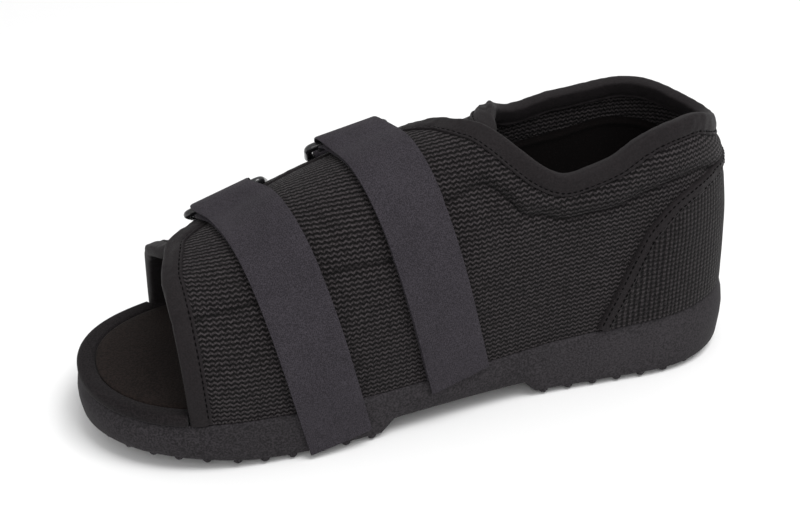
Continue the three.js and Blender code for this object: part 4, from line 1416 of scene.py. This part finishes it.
# Straps, rings and tabs
STRAPS = table("name foot bar end", ("front", x_at(0.672), 112, -18), ("rear", x_at(0.475), 112, -3))
SLOPE = math.tan(STRAP_SLANT)
LAYER = STRAP_THICKNESS / 2
LOWER_OFF = STRAP_GAP + LAYER
OUTER_OFF = LOWER_OFF + STRAP_THICKNESS + STRAP_GAP
FOLD_RADIUS = BAR_RADIUS + FIT_GAP + LAYER
OVER_TAPE = TAPE_OUT + FIT_GAP + LAYER
BAR_OFF = OVER_TAPE + FOLD_RADIUS
RING_PITCH = RING_DEPTH - 2 * BAR_RADIUS
STRAP_FOOT = 0.4
RING_LIFT = 0.8
RING_TILT = math.radians(3)
TAB_HOLD = 5
STRAP_HOLD = (5, 16)
FOLD_STEPS = 8


def strap_station(strap, girth):
    return strap["foot"] + girth * SLOPE


def strap_girth(strap, wrap):
    """Girth where a slanted strap reaches a wrap angle, by a few rounds of correction."""
    girth = INSTEP_HEIGHT
    for _ in range(8):
        girth = girth_at(OUTER, strap_station(strap, girth), wrap)
    return girth


def on_strap(strap, girth, across, off):
    """A point over a slanted strap, by its girth and its distance across from the middle."""
    station = strap_station(strap, girth) + across * math.cos(STRAP_SLANT)
    return on_wall(OUTER, station, girth - across * math.sin(STRAP_SLANT), off)


def on_tab(strap, girth, across, off, sunk=0):
    """A point on a ring's tab, which turns upright on its way down the inner side. Girths go on from the
    strap's, over the ridge. sunk is how far it follows the flap that lies under the outer one."""
    start = strap_girth(strap, strap["bar"]) + RING_PITCH
    settled = smooth(girth, start, start + TAB_WIDTH)
    lean = STRAP_SLANT * (1 - settled)
    drift = (girth - start) * SLOPE * (1 - settled)
    station = strap_station(strap, start) + drift + across * math.cos(lean)
    half = girth_at(OUTER, station, 90)
    inner = max(2 * half - girth + across * math.sin(lean), STRAP_FOOT)
    out = surface_axes(INNER, station, inner)[2]
    return wrap_point(INNER, station, inner) + out * (off - sunk * underlap(INNER, station, inner))


def ring_frame(strap):
    """Where a strap's ring lies: its near bar, and the directions along it, across the ring and out."""
    girth = strap_girth(strap, strap["bar"])
    near = on_strap(strap, girth, 0, BAR_OFF + RING_LIFT)
    start, end = (on_strap(strap, girth, side * RING_LENGTH / 3, BAR_OFF) for side in (-1, 1))
    along = (end - start).normalized()
    across = on_tab(strap, girth + RING_PITCH, 0, BAR_OFF) - near
    across = (across - along * across.dot(along)).normalized()
    down = along.cross(across)
    across = across * math.cos(RING_TILT) + down * math.sin(RING_TILT)
    return {"girth": girth, "near": near, "along": along, "across": across, "out": across.cross(along)}


def in_ring(held, x, y, z):
    """A point in a ring's own frame."""
    return held["near"] + held["along"] * x + held["across"] * y + held["out"] * z


def bar_turn(girth, off, forward, turns=14):
    """Half a turn of a strip's path around a ring's bar."""
    angles = [i / turns * math.pi for i in range(turns + 1)]
    return [(girth + forward * FOLD_RADIUS * math.sin(a), off - FOLD_RADIUS * math.cos(a)) for a in angles]


def strip(bm, path, width, place_at):
    """A strip with rounded edges along a path of girths and offs."""
    across = [-1, -0.985, -0.955, -0.8, -0.6, -0.4, -0.2, 0, 0.2, 0.4, 0.6, 0.8, 0.955, 0.985, 1]
    shape = [(a, 1 if abs(a) < 0.98 else 0.55) for a in across]
    shape += [(a, -h) for a, h in shape[::-1]]
    count = len(shape)
    runs = [0.0]
    for (g0, o0), (g1, o1) in zip(path, path[1:]):
        runs.append(runs[-1] + math.hypot(g1 - g0, o1 - o0))

    def place(i, j):
        girth, off = path[i]
        (g0, o0), (g1, o1) = path[max(i - 1, 0)], path[min(i + 1, len(path) - 1)]
        size = math.hypot(g1 - g0, o1 - o0)
        a, h = shape[j % count]
        dg, do = -(o1 - o0) / size * LAYER * h, (g1 - g0) / size * LAYER * h
        return place_at(girth + dg, a * width / 2, off + do)

    grid(bm, len(path) - 1, count, place, lambda i, j: (shape[j % count][0] * width / 2, runs[i]))
    closed(bm)


class SHOE_OT_straps(bpy.types.Operator):
    """Makes the two straps, their tabs and the plastic rings"""

    bl_idname = "shoe.straps"
    bl_label = "Straps and rings"

    def execute(self, context):
        settings = context.scene.shoe
        cloth = brushed("strap tape", tuple(settings.strap_color))
        shiny = plastic("ring plastic", tuple(settings.ring_color))
        for strap in STRAPS:
            held = ring_frame(strap)
            self.strap(strap, held, cloth)
            self.tab(strap, held, cloth)
            self.ring(strap, held, shiny)
        return {"FINISHED"}

    def strap(self, strap, held, cloth):
        bar = held["girth"]
        foot = STRAP_FOOT + STRAP_WIDTH / 2 * math.sin(STRAP_SLANT)
        steps = 60
        path = []
        for i in range(steps):
            girth = lerp(foot, bar, i / steps)
            over_tape = smooth(bar - girth, BINDING_WIDTH / 2, BINDING_WIDTH)
            path.append((girth, lerp(OVER_TAPE, LOWER_OFF, over_tape)))
        path += bar_turn(bar, BAR_OFF, 1)
        for i in range(1, FOLD_STEPS + 1):
            share = i / FOLD_STEPS
            off = lerp(BAR_OFF + FOLD_RADIUS, OUTER_OFF, smooth(share, 0, 1))
            path.append((bar - FOLD_LENGTH * share, off))
        path += [(lerp(bar - FOLD_LENGTH, strap["end"], i / steps), OUTER_OFF) for i in range(1, steps + 1)]

        def place(girth, across, off):
            free = on_strap(strap, girth, across, off)
            loose = smooth(bar - girth, *STRAP_HOLD)
            return in_ring(held, across, girth - bar, off - BAR_OFF).lerp(free, loose)

        bm = bmesh.new()
        strip(bm, path, STRAP_WIDTH, place)
        name = f"strap_{strap['name']}"
        finish_mesh(f"{name}_tape", bm, [cloth], 60, node=name)

    def tab(self, strap, held, cloth):
        bar = held["girth"] + RING_PITCH
        foot = 2 * girth_at(OUTER, strap_station(strap, bar), 90) - STRAP_FOOT
        steps = 36
        path = [(lerp(foot, bar + TAB_RISE, i / steps), TAB_GAP + LAYER) for i in range(steps + 1)]
        path += bar_turn(bar, BAR_OFF, -1)
        tail = TAB_GAP + LAYER + STRAP_THICKNESS + STRAP_GAP
        for i in range(1, FOLD_STEPS + 1):
            share = i / FOLD_STEPS
            path.append((bar + TAB_TAIL * share, lerp(BAR_OFF + FOLD_RADIUS, tail, smooth(share, 0, 1))))

        def place(girth, across, off):
            settled = smooth(girth - bar, TAB_HOLD, TAB_RISE)
            free = on_tab(strap, girth, across, off, settled)
            return in_ring(held, across, girth - held["girth"], off - BAR_OFF).lerp(free, settled)

        bm = bmesh.new()
        strip(bm, path, TAB_WIDTH, place)
        name = f"ring_tab_{strap['name']}"
        finish_mesh(f"{name}_tape", bm, [cloth], 60, node=name)

    def ring(self, strap, held, shiny):
        half, depth, corner = RING_LENGTH / 2 - BAR_RADIUS, RING_PITCH, RING_CORNER - BAR_RADIUS
        steps = 8
        loop = []
        for i in range(4):
            x = (-1 if i in (1, 2) else 1) * (half - corner)
            y = depth - corner if i < 2 else corner
            for k in range(steps + 1):
                angle = (i + k / steps) * QUARTER_TURN
                loop.append(Vector((x + corner * math.cos(angle), y + corner * math.sin(angle))))
        sides = 18
        count = len(loop)

        def place(i, j):
            along = (loop[(i + 1) % count] - loop[(i - 1) % count]).normalized()
            angle = j / sides * 2 * math.pi
            across, rise = BAR_RADIUS * math.cos(angle), BAR_RADIUS * math.sin(angle)
            point = loop[i % count]
            return in_ring(held, point.x + along.y * across, point.y - along.x * across, rise)

        bm = bmesh.new()
        grid(bm, count, sides, place)
        closed(bm, caps=False)
        name = f"ring_{strap['name']}"
        finish_mesh(f"{name}_loop", bm, [shiny], node=name)


# Camera of the photograph, whose focal length is in pixels, and the lights, in metres and watts
AZIMUTH = math.radians(163.6)
ELEVATION = math.radians(30)
CAMERA_DISTANCE = 0.6414
CAMERA_TARGET = Vector((0.1115, 0, 0.0561))
PICTURE_WIDTH = 800
FOCAL_LENGTH = 1434
SENSOR_WIDTH = 36
WORLD_LIGHT = 0.72
LIGHTS = table(
    "name place size power",
    ("key", (-0.32, 0.64, 1.84), 1.0, 27),
    ("front", (0.5, 1.1, 0.8), 0.8, 3),
)


class SHOE_OT_stage(bpy.types.Operator):
    """Sets the camera, a pale floor and soft light"""

    bl_idname = "shoe.stage"
    bl_label = "Stage"

    def execute(self, context):
        scene = context.scene
        level = math.cos(ELEVATION)
        back = Vector((math.sin(AZIMUTH) * level, -math.cos(AZIMUTH) * level, math.sin(ELEVATION)))
        data = bpy.data.cameras.new("camera")
        data.sensor_width = SENSOR_WIDTH
        data.lens = FOCAL_LENGTH * SENSOR_WIDTH / PICTURE_WIDTH
        data.clip_start = 0.01
        camera = bpy.data.objects.new("camera", data)
        camera.location = CAMERA_TARGET + back * CAMERA_DISTANCE
        camera.rotation_mode = "QUATERNION"
        camera.rotation_quaternion = (-back).to_track_quat("-Z", "Y")
        scene.collection.objects.link(camera)
        scene.camera = camera

        bm = bmesh.new()
        bmesh.ops.create_grid(bm, x_segments=1, y_segments=1, size=6)
        mesh = bpy.data.meshes.new("floor")
        bm.to_mesh(mesh)
        bm.free()
        floor = bpy.data.objects.new("floor", mesh)
        scene.collection.objects.link(floor)
        nodes = Nodes("floor")
        nodes.surface(FLOOR_COLOR, 0.9)
        mesh.materials.append(nodes.material)

        world = bpy.data.worlds.new("studio")
        world.use_nodes = True
        background = world.node_tree.nodes["Background"]
        background.inputs["Color"].default_value = (1, 1, 1, 1)
        background.inputs["Strength"].default_value = WORLD_LIGHT
        scene.world = world
        scene.view_settings.view_transform = "Standard"
        for row in LIGHTS:
            light = bpy.data.lights.new(row["name"], "AREA")
            light.size = row["size"]
            light.energy = row["power"]
            lamp = bpy.data.objects.new(row["name"], light)
            lamp.location = row["place"]
            lamp.rotation_mode = "QUATERNION"
            lamp.rotation_quaternion = (CAMERA_TARGET - lamp.location).to_track_quat("-Z", "Y")
            scene.collection.objects.link(lamp)
        return {"FINISHED"}


PIECES = ("stage", "outsole", "footbed", "upper", "bindings", "counter", "straps")


class SHOE_PT_panel(bpy.types.Panel):
    """Lists the shoe's pieces"""

    bl_label = "Post operative shoe"
    bl_space_type = "VIEW_3D"
    bl_region_type = "UI"
    bl_category = "Shoe"

    def draw(self, context):
        for name in PIECES:
            self.layout.operator(f"shoe.{name}")
        for name in ShoeSettings.__annotations__:
            self.layout.prop(context.scene.shoe, name)


CLASSES = (
    ShoeSettings,
    SHOE_OT_stage,
    SHOE_OT_outsole,
    SHOE_OT_footbed,
    SHOE_OT_upper,
    SHOE_OT_bindings,
    SHOE_OT_counter,
    SHOE_OT_straps,
    SHOE_PT_panel,
)


def register():
    for cls in CLASSES:
        bpy.utils.register_class(cls)
    bpy.types.Scene.shoe = PointerProperty(type=ShoeSettings)


def unregister():
    del bpy.types.Scene.shoe
    for cls in reversed(CLASSES):
        bpy.utils.unregister_class(cls)


def main():
    register()
    for name in PIECES:
        getattr(bpy.ops.shoe, name)()


if __name__ == "__main__":
    main()
